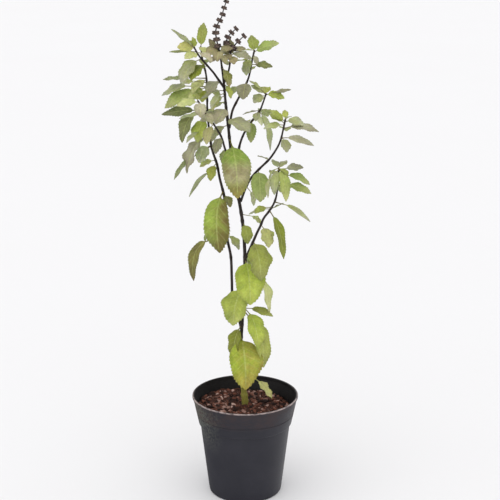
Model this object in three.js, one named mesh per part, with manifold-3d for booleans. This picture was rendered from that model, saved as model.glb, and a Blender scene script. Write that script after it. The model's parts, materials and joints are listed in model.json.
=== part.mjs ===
import * as THREE from 'three';
import { mergeVertices } from 'three/addons/utils/BufferGeometryUtils.js';
import Module from 'manifold-3d';

// Camphor basil in a nursery pot. Millimetres and degrees, +Z up. The origin is the centre of the
// pot's underside, +X is the plant's right side seen from the front, and -Y is its front.

const wasm = await Module();
wasm.setup();

// Driving dimensions of the pot
const POT_HEIGHT = 125.4;
const RIM_RADIUS = 65;
const BAND_HEIGHT = 35.4;
const BAND_FOOT_RADIUS = 57.3;
const BAND_STEP = 1.8;
const BAND_UNDERSIDE = 1;
const SHOULDER_BELOW = 3;
const SHOULDER_ABOVE = 2;
const FOOT_RADIUS = 44.8;
const FOOT_CHAMFER = 2.2;
const WALL = 1.6;
const FLOOR = 2.2;
const LIP_HEIGHT = 3;
const LIP_OVERHANG = 0.9;
const LIP_ROUNDING = 0.7;
const GROOVE_BELOW_RIM = 21.4;
const GROOVE_WIDTH = 1.6;
const GROOVE_DEPTH = 0.7;
const DRAIN_HOLES = 8;
const DRAIN_RADIUS = 4.2;
const DRAIN_CIRCLE = 31;
const POT_SIDES = 40;
const HOLE_SIDES = 12;

// Driving dimensions of the soil
const SOIL_BELOW_RIM = 16.9;
const SOIL_MOUND = 4;
const SOIL_RINGS = 6;
const SOIL_SIDES = 30;
const SOIL_LEAN = 4;
const SOIL_LUMP = { height: 1.1, x: 0.21, startX: 1.3, y: 0.26, startY: -0.4 };
const SOIL_RIDGE = { height: 0.66, x: 0.5, y: -0.43 };
const BARK_CHIPS = 44;
const BARK_SEED = 11;
const BARK_CHIP_LENGTH = [6, 12];
const BARK_CHIP_WIDTH = [0.55, 0.85];
const BARK_CHIP_THICKNESS = 0.32;
const BARK_CHIP_TILT = 0.25;
const BARK_CHIP_RISE = 0.3;
const BARK_MARGIN = 1;
const STEM_FOOT = 62;
const STEM_HOLE_RADIUS = 5.9;
const STEM_HOLE_X = 0.7;

// Clearance between a piece and the piece that carries it
const GAP = 0.3;

// Driving dimensions of leaves and flowers
const STALK_RADIUS = 0.8;
const BLADE_HALF_THICKNESS = 0.55;
const BLADE_FOLD = 0.14;
const BLADE_RISE = 0.6;
const BLADE_FALL = 0.85;
const FIRST_STATION = 0.55;
const BLADE_STATIONS = 6;
const SMALL_BLADE_STATIONS = 4;
const SMALL_BLADE = 30;
const TOOTH_DEPTH = 0.13;
const TOOTH_LEAN = 0.3;
const STALK_BEND = 0.3;
const WHORL_SPACING = 6.8;
const WHORL_CALYCES = 4;
const WHORL_RADIUS = 3.6;
const WHORL_HEIGHT = 4.2;
const WHORL_TAPER = 0.7;
const WHORL_RINGS = [
  { rise: -0.4, reach: 0.36, notch: 1 },
  { rise: 0.15, reach: 1, notch: 0.62 },
  { rise: 0.6, reach: 0.75, notch: 0.62 },
];
const RACHIS_RADII = [1, 0.6];

const WELD = 1e-4;
const radians = THREE.MathUtils.degToRad;

// Even draws between 0 and 1, the same for the same seed
function randomFrom(seed) {
  let state = seed >>> 0;
  return () => {
    state = (state + 0x6d2b79f5) >>> 0;
    let mixed = Math.imul(state ^ (state >>> 15), 1 | state);
    mixed = (mixed + Math.imul(mixed ^ (mixed >>> 7), 61 | mixed)) ^ mixed;
    return ((mixed ^ (mixed >>> 14)) >>> 0) / 2 ** 32;
  };
}

// A closed solid from a three.js geometry whose faces point out
function solidOf(geometry) {
  const bare = geometry.clone();
  for (const name of Object.keys(bare.attributes)) {
    if (name !== 'position') bare.deleteAttribute(name);
  }
  const merged = mergeVertices(bare, WELD);
  const index = merged.index.array;
  const kept = [];
  for (let i = 0; i < index.length; i += 3) {
    const [a, b, c] = [index[i], index[i + 1], index[i + 2]];
    if (a !== b && b !== c && c !== a) kept.push(a, b, c);
  }
  return new wasm.Manifold(new wasm.Mesh({
    numProp: 3,
    vertProperties: new Float32Array(merged.attributes.position.array),
    triVerts: new Uint32Array(kept),
  }));
}

// Rings of points joined into one closed body. Each ring runs counterclockwise about the way
// forward, and neighbouring quads are split in mirrored directions, so both faces of a blade
// are split alike. A last ring of one point closes the body as a tip.
function loft(rings) {
  const sides = rings[0].length;
  const points = rings.flat();
  const triangles = [];
  for (let j = 1; j < sides - 1; j += 1) triangles.push(0, j + 1, j);
  const joined = rings[rings.length - 1].length === 1 ? rings.length - 1 : rings.length;
  for (let i = 0; i + 1 < joined; i += 1) {
    for (let j = 0; j < sides; j += 1) {
      const a = i * sides + j;
      const b = i * sides + (j + 1) % sides;
      const c = a + sides;
      const d = b + sides;
      if (j % 2 === 0) triangles.push(a, b, d, a, d, c);
      else triangles.push(a, b, c, b, d, c);
    }
  }
  const last = (joined - 1) * sides;
  if (joined < rings.length) {
    for (let j = 0; j < sides; j += 1) triangles.push(last + j, last + (j + 1) % sides, last + sides);
  } else {
    for (let j = 1; j < sides - 1; j += 1) triangles.push(last, last + j, last + j + 1);
  }
  return new wasm.Manifold(new wasm.Mesh({
    numProp: 3,
    vertProperties: new Float32Array(points.flatMap((point) => point.toArray())),
    triVerts: new Uint32Array(triangles),
  }));
}

// A shoot's path, on which a point is found by its height
class Shoot {
  constructor(path) {
    this.points = path.map((point) => new THREE.Vector3(...point));
  }

  at(height) {
    const { points } = this;
    let i = 0;
    while (i < points.length - 2 && points[i + 1].z < height) i += 1;
    const share = (height - points[i].z) / (points[i + 1].z - points[i].z);
    return points[i].clone().lerp(points[i + 1], THREE.MathUtils.clamp(share, 0, 1));
  }
}

// The number at a share of a list, between its first at 0 and its last at 1
function spread(list, share) {
  const place = share * (list.length - 1);
  const before = Math.min(Math.floor(place), list.length - 2);
  return THREE.MathUtils.lerp(list[before], list[before + 1], place - before);
}

// A stem along a path, whose radii are spread from its root to its tip. With grown it is that much
// larger all round.
function stemSolid(path, radii, sides, grown = 0) {
  const points = path.map((point) => new THREE.Vector3(...point));
  const first = points[1].clone().sub(points[0]).normalize();
  const last = points[points.length - 1].clone().sub(points[points.length - 2]).normalize();
  if (grown > 0) {
    points[0].addScaledVector(first, -grown);
    points[points.length - 1].addScaledVector(last, grown);
  }
  const rings = points.map((point, i) => {
    const before = points[Math.max(i - 1, 0)];
    const after = points[Math.min(i + 1, points.length - 1)];
    const forward = after.clone().sub(before).normalize();
    const across = new THREE.Vector3(0, 1, 0).cross(forward).normalize();
    const third = forward.clone().cross(across);
    const radius = spread(radii, i / (points.length - 1)) + grown;
    return Array.from({ length: sides }, (_, j) => {
      const angle = (j + 0.5) * 2 * Math.PI / sides;
      return point.clone()
        .addScaledVector(across, radius * Math.cos(angle))
        .addScaledVector(third, radius * Math.sin(angle));
    });
  });
  return loft(rings);
}

// Half-width of a blade along its length, from 0 at the stalk to 1 at the widest place
function bladeOutline(share) {
  const widest = BLADE_RISE / (BLADE_RISE + BLADE_FALL);
  const peak = widest ** BLADE_RISE * (1 - widest) ** BLADE_FALL;
  return share ** BLADE_RISE * (1 - share) ** BLADE_FALL / peak;
}

// How much of a leaf's droop has happened at a place along its blade: most of it near the stalk
function bladeBend(share) {
  return STALK_BEND + (1 - STALK_BEND) * (1 - (1 - share) ** 2);
}

// One leaf: a bare stalk that starts inside the stem, then a toothed blade that bends down
function leafSolid(shoot, row) {
  const [height, azimuth, length, width, pitch, droop, roll, stalk] = row;
  const turn = radians(azimuth);
  const side = new THREE.Vector3(-Math.sin(turn), Math.cos(turn), 0);
  const stations = length < SMALL_BLADE ? SMALL_BLADE_STATIONS : BLADE_STATIONS;
  const rings = [];
  const point = shoot.at(height);
  const frameAt = (bend) => {
    const rise = radians(pitch - droop * bend);
    const forward = new THREE.Vector3(
      Math.cos(turn) * Math.cos(rise), Math.sin(turn) * Math.cos(rise), Math.sin(rise));
    const across = side.clone().applyAxisAngle(forward, radians(roll));
    return { forward, across, normal: forward.clone().cross(across) };
  };
  const ring = (centre, { across, normal }, halfWidth, halfThickness, lift) => [
    centre.clone().addScaledVector(across, halfWidth).addScaledVector(normal, lift),
    centre.clone().addScaledVector(normal, halfThickness),
    centre.clone().addScaledVector(across, -halfWidth).addScaledVector(normal, lift),
    centre.clone().addScaledVector(normal, -halfThickness),
  ];
  rings.push(ring(point, frameAt(0), STALK_RADIUS, STALK_RADIUS, 0));
  point.addScaledVector(frameAt(STALK_BEND / 2).forward, stalk);
  rings.push(ring(point, frameAt(STALK_BEND), STALK_RADIUS, STALK_RADIUS, 0));
  let before = 0;
  for (let i = 0; i < stations; i += 1) {
    const share = (i + FIRST_STATION) / stations;
    const frame = frameAt(bladeBend((share + before) / 2));
    point.addScaledVector(frame.forward, (share - before) * length);
    before = share;
    const isTooth = i % 2 === 1;
    const outline = bladeOutline(share) * (isTooth ? 1 : 1 - TOOTH_DEPTH);
    const half = width / 2 * outline;
    const here = frameAt(bladeBend(share));
    const rows = ring(point, here, half, BLADE_HALF_THICKNESS, BLADE_FOLD * half);
    const lean = (isTooth ? TOOTH_LEAN : 0) * length / stations;
    rows[0].addScaledVector(here.forward, lean);
    rows[2].addScaledVector(here.forward, lean);
    rings.push(rows);
  }
  const end = frameAt(1);
  rings.push([point.clone().addScaledVector(end.forward, (1 - before) * length)]);
  return loft(rings);
}

// One whorl of calyces round the flower axis, with a lobe for each calyx
function whorlSolid(centre, forward, turn, size) {
  const across = new THREE.Vector3(0, 1, 0).cross(forward).normalize().applyAxisAngle(forward, turn);
  const third = forward.clone().cross(across);
  const ring = ({ rise, reach, notch }) => Array.from({ length: 2 * WHORL_CALYCES }, (_, j) => {
    const angle = j * Math.PI / WHORL_CALYCES;
    const radius = size * WHORL_RADIUS * reach * (j % 2 === 0 ? 1 : notch);
    return centre.clone()
      .addScaledVector(forward, size * WHORL_HEIGHT * rise)
      .addScaledVector(across, radius * Math.cos(angle))
      .addScaledVector(third, radius * Math.sin(angle));
  });
  return loft(WHORL_RINGS.map(ring));
}

// The largest closed body of a solid, without loose scraps
function largest(solid) {
  return solid.decompose().sort((a, b) => b.volume() - a.volume())[0];
}

function fuse(solids) {
  return largest(solids.reduce((joined, next) => joined.add(next)));
}

// Pot: one turned wall with a deep rim band, open at the top and drained through the floor
function bandRadius(height) {
  const share = (height - (POT_HEIGHT - BAND_HEIGHT)) / (BAND_HEIGHT - LIP_HEIGHT);
  return THREE.MathUtils.lerp(BAND_FOOT_RADIUS, RIM_RADIUS - LIP_OVERHANG, share);
}

const bandFoot = POT_HEIGHT - BAND_HEIGHT;
const bodyTopRadius = BAND_FOOT_RADIUS - BAND_STEP;
const groove = POT_HEIGHT - GROOVE_BELOW_RIM;
const lipFoot = POT_HEIGHT - LIP_HEIGHT;

// The inside of the wall from the floor to the rim, as radius and height
const insideWall = [
  [FOOT_RADIUS - WALL, FLOOR],
  [bodyTopRadius - WALL, bandFoot - SHOULDER_BELOW],
  [bandRadius(bandFoot + SHOULDER_ABOVE) - WALL, bandFoot + SHOULDER_ABOVE],
  [bandRadius(lipFoot) - WALL, lipFoot],
];

function insideRadius(height) {
  let i = 0;
  while (i < insideWall.length - 2 && insideWall[i + 1][1] < height) i += 1;
  const [low, high] = [insideWall[i], insideWall[i + 1]];
  return THREE.MathUtils.lerp(low[0], high[0], (height - low[1]) / (high[1] - low[1]));
}

function turned(profile) {
  const points = profile.map(([radius, height]) => new THREE.Vector2(radius, height));
  return new THREE.LatheGeometry(points, POT_SIDES).rotateX(Math.PI / 2);
}

function makePot() {
  const outside = [
    [0, 0],
    [FOOT_RADIUS - FOOT_CHAMFER, 0],
    [FOOT_RADIUS, FOOT_CHAMFER],
    [bodyTopRadius, bandFoot - BAND_UNDERSIDE],
    [BAND_FOOT_RADIUS - LIP_ROUNDING, bandFoot],
    [BAND_FOOT_RADIUS, bandFoot + LIP_ROUNDING],
    [bandRadius(groove - GROOVE_WIDTH), groove - GROOVE_WIDTH],
    [bandRadius(groove) - GROOVE_DEPTH, groove - GROOVE_WIDTH / 2],
    [bandRadius(groove), groove],
    [bandRadius(lipFoot), lipFoot],
    [RIM_RADIUS, lipFoot + LIP_ROUNDING],
    [RIM_RADIUS, POT_HEIGHT - LIP_ROUNDING],
    [RIM_RADIUS - LIP_ROUNDING, POT_HEIGHT],
    [RIM_RADIUS - LIP_OVERHANG - WALL + LIP_ROUNDING, POT_HEIGHT],
  ];
  let pot = solidOf(turned([...outside, ...insideWall.toReversed(), [0, FLOOR]]));
  for (let i = 0; i < DRAIN_HOLES; i += 1) {
    const angle = (i + 0.5) * 2 * Math.PI / DRAIN_HOLES;
    const drill = new THREE.CylinderGeometry(DRAIN_RADIUS, DRAIN_RADIUS, 4 * FLOOR, HOLE_SIDES)
      .rotateX(Math.PI / 2)
      .translate(DRAIN_CIRCLE * Math.cos(angle), DRAIN_CIRCLE * Math.sin(angle), 0);
    pot = pot.subtract(solidOf(drill));
  }
  return pot;
}

// Soil: a plug that fills the pot, mounded and uneven on top, with bark chips bedded in it
const soilLevel = POT_HEIGHT - SOIL_BELOW_RIM;

function soilHeight(x, y) {
  const edge = insideRadius(soilLevel);
  const share = Math.hypot(x, y) / edge;
  const mound = SOIL_MOUND * (1 - share ** 2) - SOIL_LEAN * x / edge * share;
  const lump = Math.sin(SOIL_LUMP.x * x + SOIL_LUMP.startX) * Math.cos(SOIL_LUMP.y * y + SOIL_LUMP.startY);
  const ridge = Math.sin(SOIL_RIDGE.x * x + SOIL_RIDGE.y * y);
  return soilLevel + mound + SOIL_LUMP.height * lump + SOIL_RIDGE.height * ridge;
}

function soilRing(radius, heightAt) {
  return Array.from({ length: SOIL_SIDES }, (_, j) => {
    const angle = j * 2 * Math.PI / SOIL_SIDES;
    const [x, y] = [radius * Math.cos(angle), radius * Math.sin(angle)];
    return new THREE.Vector3(x, y, heightAt(x, y));
  });
}

// A bark chip lying in the top of the soil, within a distance from the pot's middle
function barkChip(random, reach) {
  const distance = Math.sqrt(random()) * reach;
  const angle = 2 * Math.PI * random();
  const [x, y] = [distance * Math.cos(angle), distance * Math.sin(angle)];
  const length = THREE.MathUtils.lerp(...BARK_CHIP_LENGTH, random());
  return solidOf(new THREE.OctahedronGeometry(length / 2, 0)
    .scale(1, THREE.MathUtils.lerp(...BARK_CHIP_WIDTH, random()), BARK_CHIP_THICKNESS)
    .rotateY(2 * BARK_CHIP_TILT * (random() - 0.5))
    .rotateZ(2 * Math.PI * random())
    .translate(x, y, soilHeight(x, y) + BARK_CHIP_RISE));
}

function makeSoil() {
  const flat = Math.cos(Math.PI / SOIL_SIDES);
  const rings = [
    soilRing((insideWall[0][0] - GAP) * flat, () => FLOOR + GAP),
    soilRing((insideWall[1][0] - GAP) * flat, () => insideWall[1][1]),
    soilRing((insideWall[2][0] - 1.5 * GAP) * flat, () => insideWall[2][1]),
  ];
  const topRadius = (insideRadius(soilLevel - SHOULDER_BELOW) - 2 * GAP) * flat;
  for (let i = 0; i < SOIL_RINGS; i += 1) {
    rings.push(soilRing(topRadius * (1 - i / SOIL_RINGS), soilHeight));
  }
  rings.push([new THREE.Vector3(0, 0, soilHeight(0, 0))]);
  let soil = loft(rings);
  const random = randomFrom(BARK_SEED);
  const reach = topRadius - BARK_CHIP_LENGTH[1] / 2 - BARK_MARGIN;
  for (let i = 0; i < BARK_CHIPS; i += 1) soil = soil.add(barkChip(random, reach));
  const hole = new THREE.CylinderGeometry(STEM_HOLE_RADIUS, STEM_HOLE_RADIUS, POT_HEIGHT, HOLE_SIDES)
    .rotateX(Math.PI / 2)
    .translate(STEM_HOLE_X, 0, STEM_FOOT - GAP + POT_HEIGHT / 2);
  return largest(soil).subtract(solidOf(hole));
}

// Every shoot: its path from root to tip, its radii there, how many sides its stem has, and its
// leaves as height, azimuth, length, width, pitch, droop, roll and the bare stalk's length.
// Azimuth 0 is +X and 270 is the front.
const SHOOTS = {
  main_stem: {
    path: [[1.2, 0, 62], [0.2, 0, 110], [-2.4, 0, 137], [-5, -1, 189], [-4, 0, 211], [-1, 2, 259],
      [0, 1, 293], [-2, 0, 335], [-7, -1, 370], [-14, 0, 406], [-17, 1, 434], [-20, 1, 465],
      [-22, 0, 483], [-24, 0, 506], [-27, -1, 532], [-30, -2, 549]],
    radii: [4.9, 4.8, 3.3, 2.3, 2.1, 2.2, 2.2, 2.1, 2, 1.9, 1.8, 1.7, 1.6, 1.4, 1.2, 1],
    sides: 8,
    leaves: [
      [160, 338, 26, 20, -31, 22, 0, 27],
      [200, 286, 61, 44, -30, 58, 0, 6],
      [216, 222, 36, 23, -40, 45, 0, 8],
      [234, 344, 56, 28, -41, 50, 25, 24],
      [238, 307, 44, 26, -15, 68, 0, 15],
      [186, 100, 36, 22, 0, 75, 0, 10],
      [178, 60, 36, 24, -10, 70, 0, 10],
      [264, 236, 44, 38, -20, 62, 0, 9],
      [297, 286, 51, 39, -20, 66, 0, 7],
      [289, 342, 46, 22, -30, 60, 10, 24],
      [262, 80, 40, 26, 5, 75, 0, 12],
      [284, 85, 36, 24, 5, 75, 0, 12],
      [343, 302, 23, 17, -25, 60, 0, 5],
      [353, 335, 14, 12, 5, 55, 0, 14],
      [300, 62, 36, 22, 5, 78, 0, 10],
      [236, 337, 28, 12, 9, 30, 30, 12],
      [443, 289, 61, 36, -28, 58, 0, 14],
      [406, 80, 40, 24, 0, 75, 0, 10],
      [469, 198, 30, 18, 25, 45, -35, 4],
      [459, 206, 23, 16, -5, 55, -15, 6],
      [466, 318, 34, 24, 5, 32, 10, 4],
      [430, 100, 34, 20, 0, 70, 0, 10],
      [483, 118, 26, 15, 20, 55, 0, 7],
      [499, 200, 25, 15, 12, 45, 0, 6],
      [526, 312, 21, 14, -25, 55, 0, 5],
      [493, 222, 20, 12, 0, 60, 0, 6],
      [544, 205, 15, 13, 25, 50, -40, 3],
      [544, 262, 17, 13, 10, 60, 0, 3],
      [543, 160, 14, 11, 40, 40, -40, 3],
      [544, 20, 14, 11, 40, 45, 40, 3],
      [538, 150, 21, 12, 55, 5, -20, 4],
      [507, 322, 16, 11, -25, 50, 0, 4],
      [540, 300, 14, 11, 5, 60, 0, 3],
      [539, 225, 15, 12, 10, 50, 0, 3],
      [478, 238, 24, 19, 0, 50, -10, 3],
      [496, 243, 24, 10, 8, 55, 0, 14],
    ],
  },
  left_stem: {
    path: [[-4, 2, 206], [-9, 4, 228], [-15, 6, 245], [-16, 7, 270], [-17, 8, 298], [-21, 9, 319],
      [-23, 10, 337], [-24, 11, 359], [-25, 12, 373], [-30, 13, 394], [-33, 14, 410],
      [-39, 15, 429], [-42, 16, 451], [-44, 17, 472], [-44, 18, 492], [-45, 19, 514],
      [-49, 20, 532], [-51, 21, 547]],
    radii: [1.8, 1.6, 1],
    sides: 6,
    leaves: [
      [326, 331, 20, 16, -13, 50, 0, 5],
      [324, 184, 54, 16, 0, 96, -48, 27],
      [378, 244, 70, 36, -28, 78, 0, 10],
      [374, 310, 15, 13, -10, 60, 0, 4],
      [415, 190, 16, 12, 0, 35, -20, 5],
      [412, 238, 19, 15, -20, 60, 0, 6],
      [406, 186, 36, 7, -20, 42, 60, 14],
      [446, 210, 41, 34, -20, 60, 0, 16],
      [477, 196, 36, 21, -15, 68, -30, 19],
      [432, 187, 31, 10, -25, 36, 50, 30],
      [466, 236, 28, 22, -10, 70, 0, 9],
      [473, 183, 37, 17, 6, 18, -35, 17],
      [493, 181, 39, 21, 12, 52, -40, 16],
      [501, 178, 31, 16, 8, 40, -30, 25],
      [511, 182, 25, 12, 2, 8, 28, 26],
      [498, 250, 17, 14, 0, 60, 0, 5],
      [499, 318, 21, 15, 5, 55, 0, 5],
      [360, 115, 40, 22, 10, 70, 0, 10],
      [342, 152, 36, 20, 5, 78, 0, 8],
      [440, 140, 32, 19, 10, 65, 0, 8],
      [487, 150, 30, 17, 15, 55, 0, 8],
      [509, 218, 22, 17, 5, 55, -10, 4],
      [433, 208, 22, 20, -15, 55, -20, 5],
      [472, 95, 34, 20, 15, 60, 0, 10],
      [520, 110, 26, 15, 25, 50, 0, 8],
      [547, 55, 25, 15, 77, 0, 0, 3],
      [546, 290, 15, 12, 20, 60, 0, 4],
      [500, 205, 22, 14, -2, 45, -30, 6],
      [506, 217, 15, 9, 14, 30, -30, 20],
      [450, 230, 22, 10, 10, 50, 0, 20],
    ],
  },
  right_branch: {
    path: [[-5, -2, 369], [0, -6, 384], [5, -9, 395], [11, -12, 404], [20, -16, 414],
      [29, -20, 424], [37, -24, 437], [41, -27, 447], [43, -29, 456], [46, -31, 471]],
    radii: [1.6, 1],
    sides: 6,
    leaves: [
      [409, 280, 35, 23, -30, 58, 0, 4],
      [388, 320, 17, 11, -30, 60, 0, 9],
      [422, 225, 17, 9, 34, 20, 0, 3],
      [468, 180, 18, 11, 50, 20, -40, 4],
      [468, 2, 20, 15, 22, 48, 30, 4],
      [464, 195, 20, 14, 15, 35, -25, 5],
      [460, 352, 33, 15, 25, 46, 30, 9],
      [449, 354, 31, 10, 8, 32, 50, 8],
      [450, 305, 16, 14, -25, 50, 0, 4],
      [466, 150, 18, 13, 40, 20, -20, 4],
      [458, 80, 24, 14, 20, 50, 0, 7],
      [470, 90, 12, 8, 55, 20, 0, 3],
      [470, 300, 12, 8, 50, 40, 0, 3],
    ],
  },
  lower_right_branch: {
    path: [[1, -2, 300], [9, -8, 320], [14, -12, 333], [18, -14, 342], [22, -16, 352],
      [28, -19, 361], [34, -22, 372], [37, -24, 384], [38, -26, 397], [39, -27, 414]],
    radii: [1.7, 1],
    sides: 6,
    leaves: [
      [414, 290, 38, 14, 0, 84, 0, 8],
      [411, 0, 19, 13, 20, 24, 30, 10],
      [403, 2, 27, 13, 19, 58, 30, 13],
      [393, 352, 27, 13, 9, 38, 40, 14],
      [373, 0, 34, 7, -10, 34, 60, 15],
      [413, 250, 28, 13, -10, 78, 0, 6],
      [414, 190, 14, 9, -10, 60, 0, 4],
      [413, 310, 15, 10, 20, 60, 0, 3],
      [322, 310, 45, 36, -38, 48, 0, 4],
      [364, 190, 21, 14, 10, 35, 0, 6],
      [364, 0, 13, 8, 25, 0, 0, 4],
      [362, 342, 52, 17, -50, 34, 20, 9],
      [343.5, 312, 24, 22, -25, 55, 0, 6],
      [394, 80, 28, 18, 10, 60, 0, 8],
      [406, 100, 26, 15, 20, 50, 0, 8],
      [414, 115, 15, 10, 24, 0, 0, 3],
      [414, 65, 19, 11, 14, 0, 0, 3],
      [412, 214, 25, 9, -26, 70, 0, 13],
      [366, 222, 18, 10, 16, 40, -30, 10],
    ],
  },
  upper_right_branch: {
    path: [[-10.5, 1.5, 388], [-8, 10, 410], [-7, 16, 429], [-2, 21, 444], [5, 26, 455],
      [12, 30, 464], [18, 33, 472], [21, 36, 479], [25, 39, 490]],
    radii: [1.6, 1],
    sides: 6,
    leaves: [
      [489, 180, 17, 10, 45, 20, -40, 4],
      [489, 355, 20, 15, 15, 38, 30, 3],
      [489, 8, 18, 8, 14, 8, 30, 13],
      [488, 205, 15, 15, 3, 45, -25, 3],
      [470, 322, 45, 13, -27, 60, 0, 5],
      [460, 262, 24, 13, -15, 70, 0, 6],
      [470, 250, 13, 10, -5, 50, 0, 4],
      [466, 300, 13, 9, -5, 60, 0, 4],
      [471, 180, 17, 8, 0, 20, 0, 4],
      [458, 120, 22, 14, 20, 60, 0, 5],
      [470, 70, 28, 16, 15, 55, 0, 9],
      [488, 95, 20, 15, 45, 40, 0, 4],
      [489, 175, 16, 9, 50, 20, -20, 10],
    ],
  },
  top_right_branch: {
    path: [[-18, 3, 455], [-15, 8, 473], [-10, 11, 484], [-5, 13, 493], [0, 15, 502],
      [4, 17, 511], [6, 18, 519], [8, 19, 530], [11, 20, 543]],
    radii: [1.5, 1],
    sides: 6,
    leaves: [
      [507, 250, 20, 19, -15, 60, 0, 4],
      [536, 221, 19, 16, -27, 60, 0, 6],
      [527, 0, 20, 14, 0, 10, 30, 5],
      [529, 165, 17, 11, 35, 50, 0, 4],
      [541, 348, 28, 16, 34, 20, 45, 4],
      [541, 125, 17, 17, 80, 10, 0, 3],
      [543, 200, 12, 9, 15, 20, 0, 3],
      [500, 115, 26, 15, 15, 55, 0, 8],
      [520, 90, 24, 14, 25, 50, 0, 7],
      [538, 300, 11, 8, -20, 50, 0, 3],
    ],
  },
  front_branch: {
    path: [[-17, -2, 416], [-23, -9, 433], [-27, -15, 448], [-35, -21, 463], [-44, -26, 477],
      [-53, -30, 492]],
    radii: [1.4, 0.9],
    sides: 6,
    leaves: [
      [476, 190, 26, 13, 5, 20, 30, 6],
      [464, 240, 22, 14, -15, 60, 0, 6],
      [490, 190, 22, 15, 15, 35, -30, 4],
      [490, 280, 20, 15, 0, 60, 0, 5],
      [491, 110, 14, 9, 40, 20, 0, 3],
      [478, 300, 16, 11, 0, 60, 0, 4],
      [448, 245, 20, 13, -10, 60, 0, 4],
    ],
  },
  top_left_branch: {
    path: [[-24, -1, 503], [-30, -4, 512], [-36, -7, 521], [-45, -11, 532], [-52, -14, 541],
      [-57, -16, 550]],
    radii: [1.5, 0.9],
    sides: 6,
    leaves: [
      [531, 226, 24, 21, 0, 55, 0, 6],
      [537, 203, 31, 21, -12, 52, -25, 7],
      [545, 182, 26, 8, 5, 8, 30, 5],
      [549, 190, 18, 15, 18, 20, -45, 2],
      [550, 178, 29, 10, 45, 10, 40, 4],
      [550, 150, 14, 11, 30, 20, -40, 3],
      [544, 320, 20, 15, 10, 50, 0, 5],
      [534, 90, 20, 13, 15, 50, 0, 6],
      [511, 232, 20, 18, 5, 60, 0, 5],
      [543, 237, 22, 13, 12, 30, -30, 3],
      [548, 165, 11, 9, 84, 10, -30, 3],
    ],
  },
  crown_shoot: {
    path: [[-24, 2, 507], [-19, 6, 520], [-17, 8, 531], [-16, 9, 545]],
    radii: [1.3, 1],
    sides: 6,
    leaves: [
      [539, 350, 22, 14, 20, 45, 30, 4],
      [530, 100, 20, 12, 20, 50, 0, 4],
      [540, 78, 14, 9, 20, 40, 0, 3],
      [540, 250, 13, 11, 10, 50, 0, 3],
      [538, 140, 14, 11, 40, 30, -20, 3],
      [538, 95, 17, 13, 60, 0, 0, 3],
      [537, 285, 15, 12, 15, 60, 0, 3],
      [541, 32, 17, 10, 40, 42, 30, 4],
    ],
  },
};

// Every flower spike: the shoot that it tops and its axis from root to tip
const SPIKES = {
  tall_flower_spike: {
    on: 'main_stem',
    path: [[-30, -2, 546], [-31, -2, 552], [-33, -1, 565], [-31, -1, 574], [-26, -1, 583],
      [-24, -1, 591], [-21, 0, 599]],
  },
  short_flower_spike: {
    on: 'crown_shoot',
    path: [[-16, 9, 543], [-12.5, 9, 548.5], [-10, 9, 552], [-6.5, 9, 555.5], [-1.5, 9, 560]],
  },
  right_flower_spike: {
    on: 'crown_shoot',
    path: [[-16, 9, 543], [-19.5, 8, 548], [-21, 6, 555], [-17.5, 6, 562], [-10.5, 6, 568.5]],
  },
};

function makeShoot({ path, radii, sides, leaves }) {
  const shoot = new Shoot(path);
  return fuse([stemSolid(path, radii, sides), ...leaves.map((row) => leafSolid(shoot, row))]);
}

function makeSpike({ path }) {
  const shoot = new Shoot(path);
  const solids = [stemSolid(path, RACHIS_RADII, 4)];
  const [foot, top] = [path[1][2], path[path.length - 1][2]];
  const whorls = Math.floor((top - foot) / WHORL_SPACING);
  for (let i = 0; i <= whorls; i += 1) {
    const share = i / whorls;
    const height = foot + (top - foot) * share;
    const forward = shoot.at(height + 1).sub(shoot.at(height - 1)).normalize();
    const size = THREE.MathUtils.lerp(1, WHORL_TAPER, share);
    solids.push(whorlSolid(shoot.at(height), forward, i * Math.PI / (2 * WHORL_CALYCES), size));
  }
  return fuse(solids);
}

function meshOf(name, solid, { color, roughness, metalness = 0 }) {
  const { vertProperties, triVerts } = solid.getMesh();
  const geometry = new THREE.BufferGeometry();
  geometry.setAttribute('position', new THREE.BufferAttribute(new Float32Array(vertProperties), 3));
  geometry.setIndex(new THREE.BufferAttribute(new Uint32Array(triVerts), 1));
  geometry.computeVertexNormals();
  const mesh = new THREE.Mesh(geometry, new THREE.MeshStandardMaterial({ color, roughness, metalness }));
  mesh.name = name;
  return mesh;
}

const FINISHES = {
  pot: { color: 0x24242a, roughness: 0.45 },
  soil: { color: 0x5b3a2e, roughness: 0.95 },
  leaf: { color: 0x7f9440, roughness: 0.6 },
  flower: { color: 0x5a4048, roughness: 0.8 },
};

const group = new THREE.Group();
group.add(meshOf('pot', makePot(), FINISHES.pot));
group.add(meshOf('soil', makeSoil(), FINISHES.soil));

// Each shoot is seated against the stems made before it, and each spike on its shoot's tip
const stems = [];
for (const [name, shoot] of Object.entries(SHOOTS)) {
  let solid = makeShoot(shoot);
  for (const stem of stems) solid = solid.subtract(stem);
  group.add(meshOf(name, largest(solid), FINISHES.leaf));
  stems.push(stemSolid(shoot.path, shoot.radii, shoot.sides, GAP));
}
for (const [name, spike] of Object.entries(SPIKES)) {
  const { path, radii, sides } = SHOOTS[spike.on];
  const solid = makeSpike(spike).subtract(stemSolid(path, radii, sides, GAP));
  group.add(meshOf(name, largest(solid), FINISHES.flower));
}

export default group;
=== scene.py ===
import json
import logging
import math
from collections.abc import Iterator, Mapping, Sequence
from dataclasses import dataclass, field
from enum import Enum
from typing import Any

import bpy
import numpy as np
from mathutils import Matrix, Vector
from mathutils import noise as smooth_noise

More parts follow.
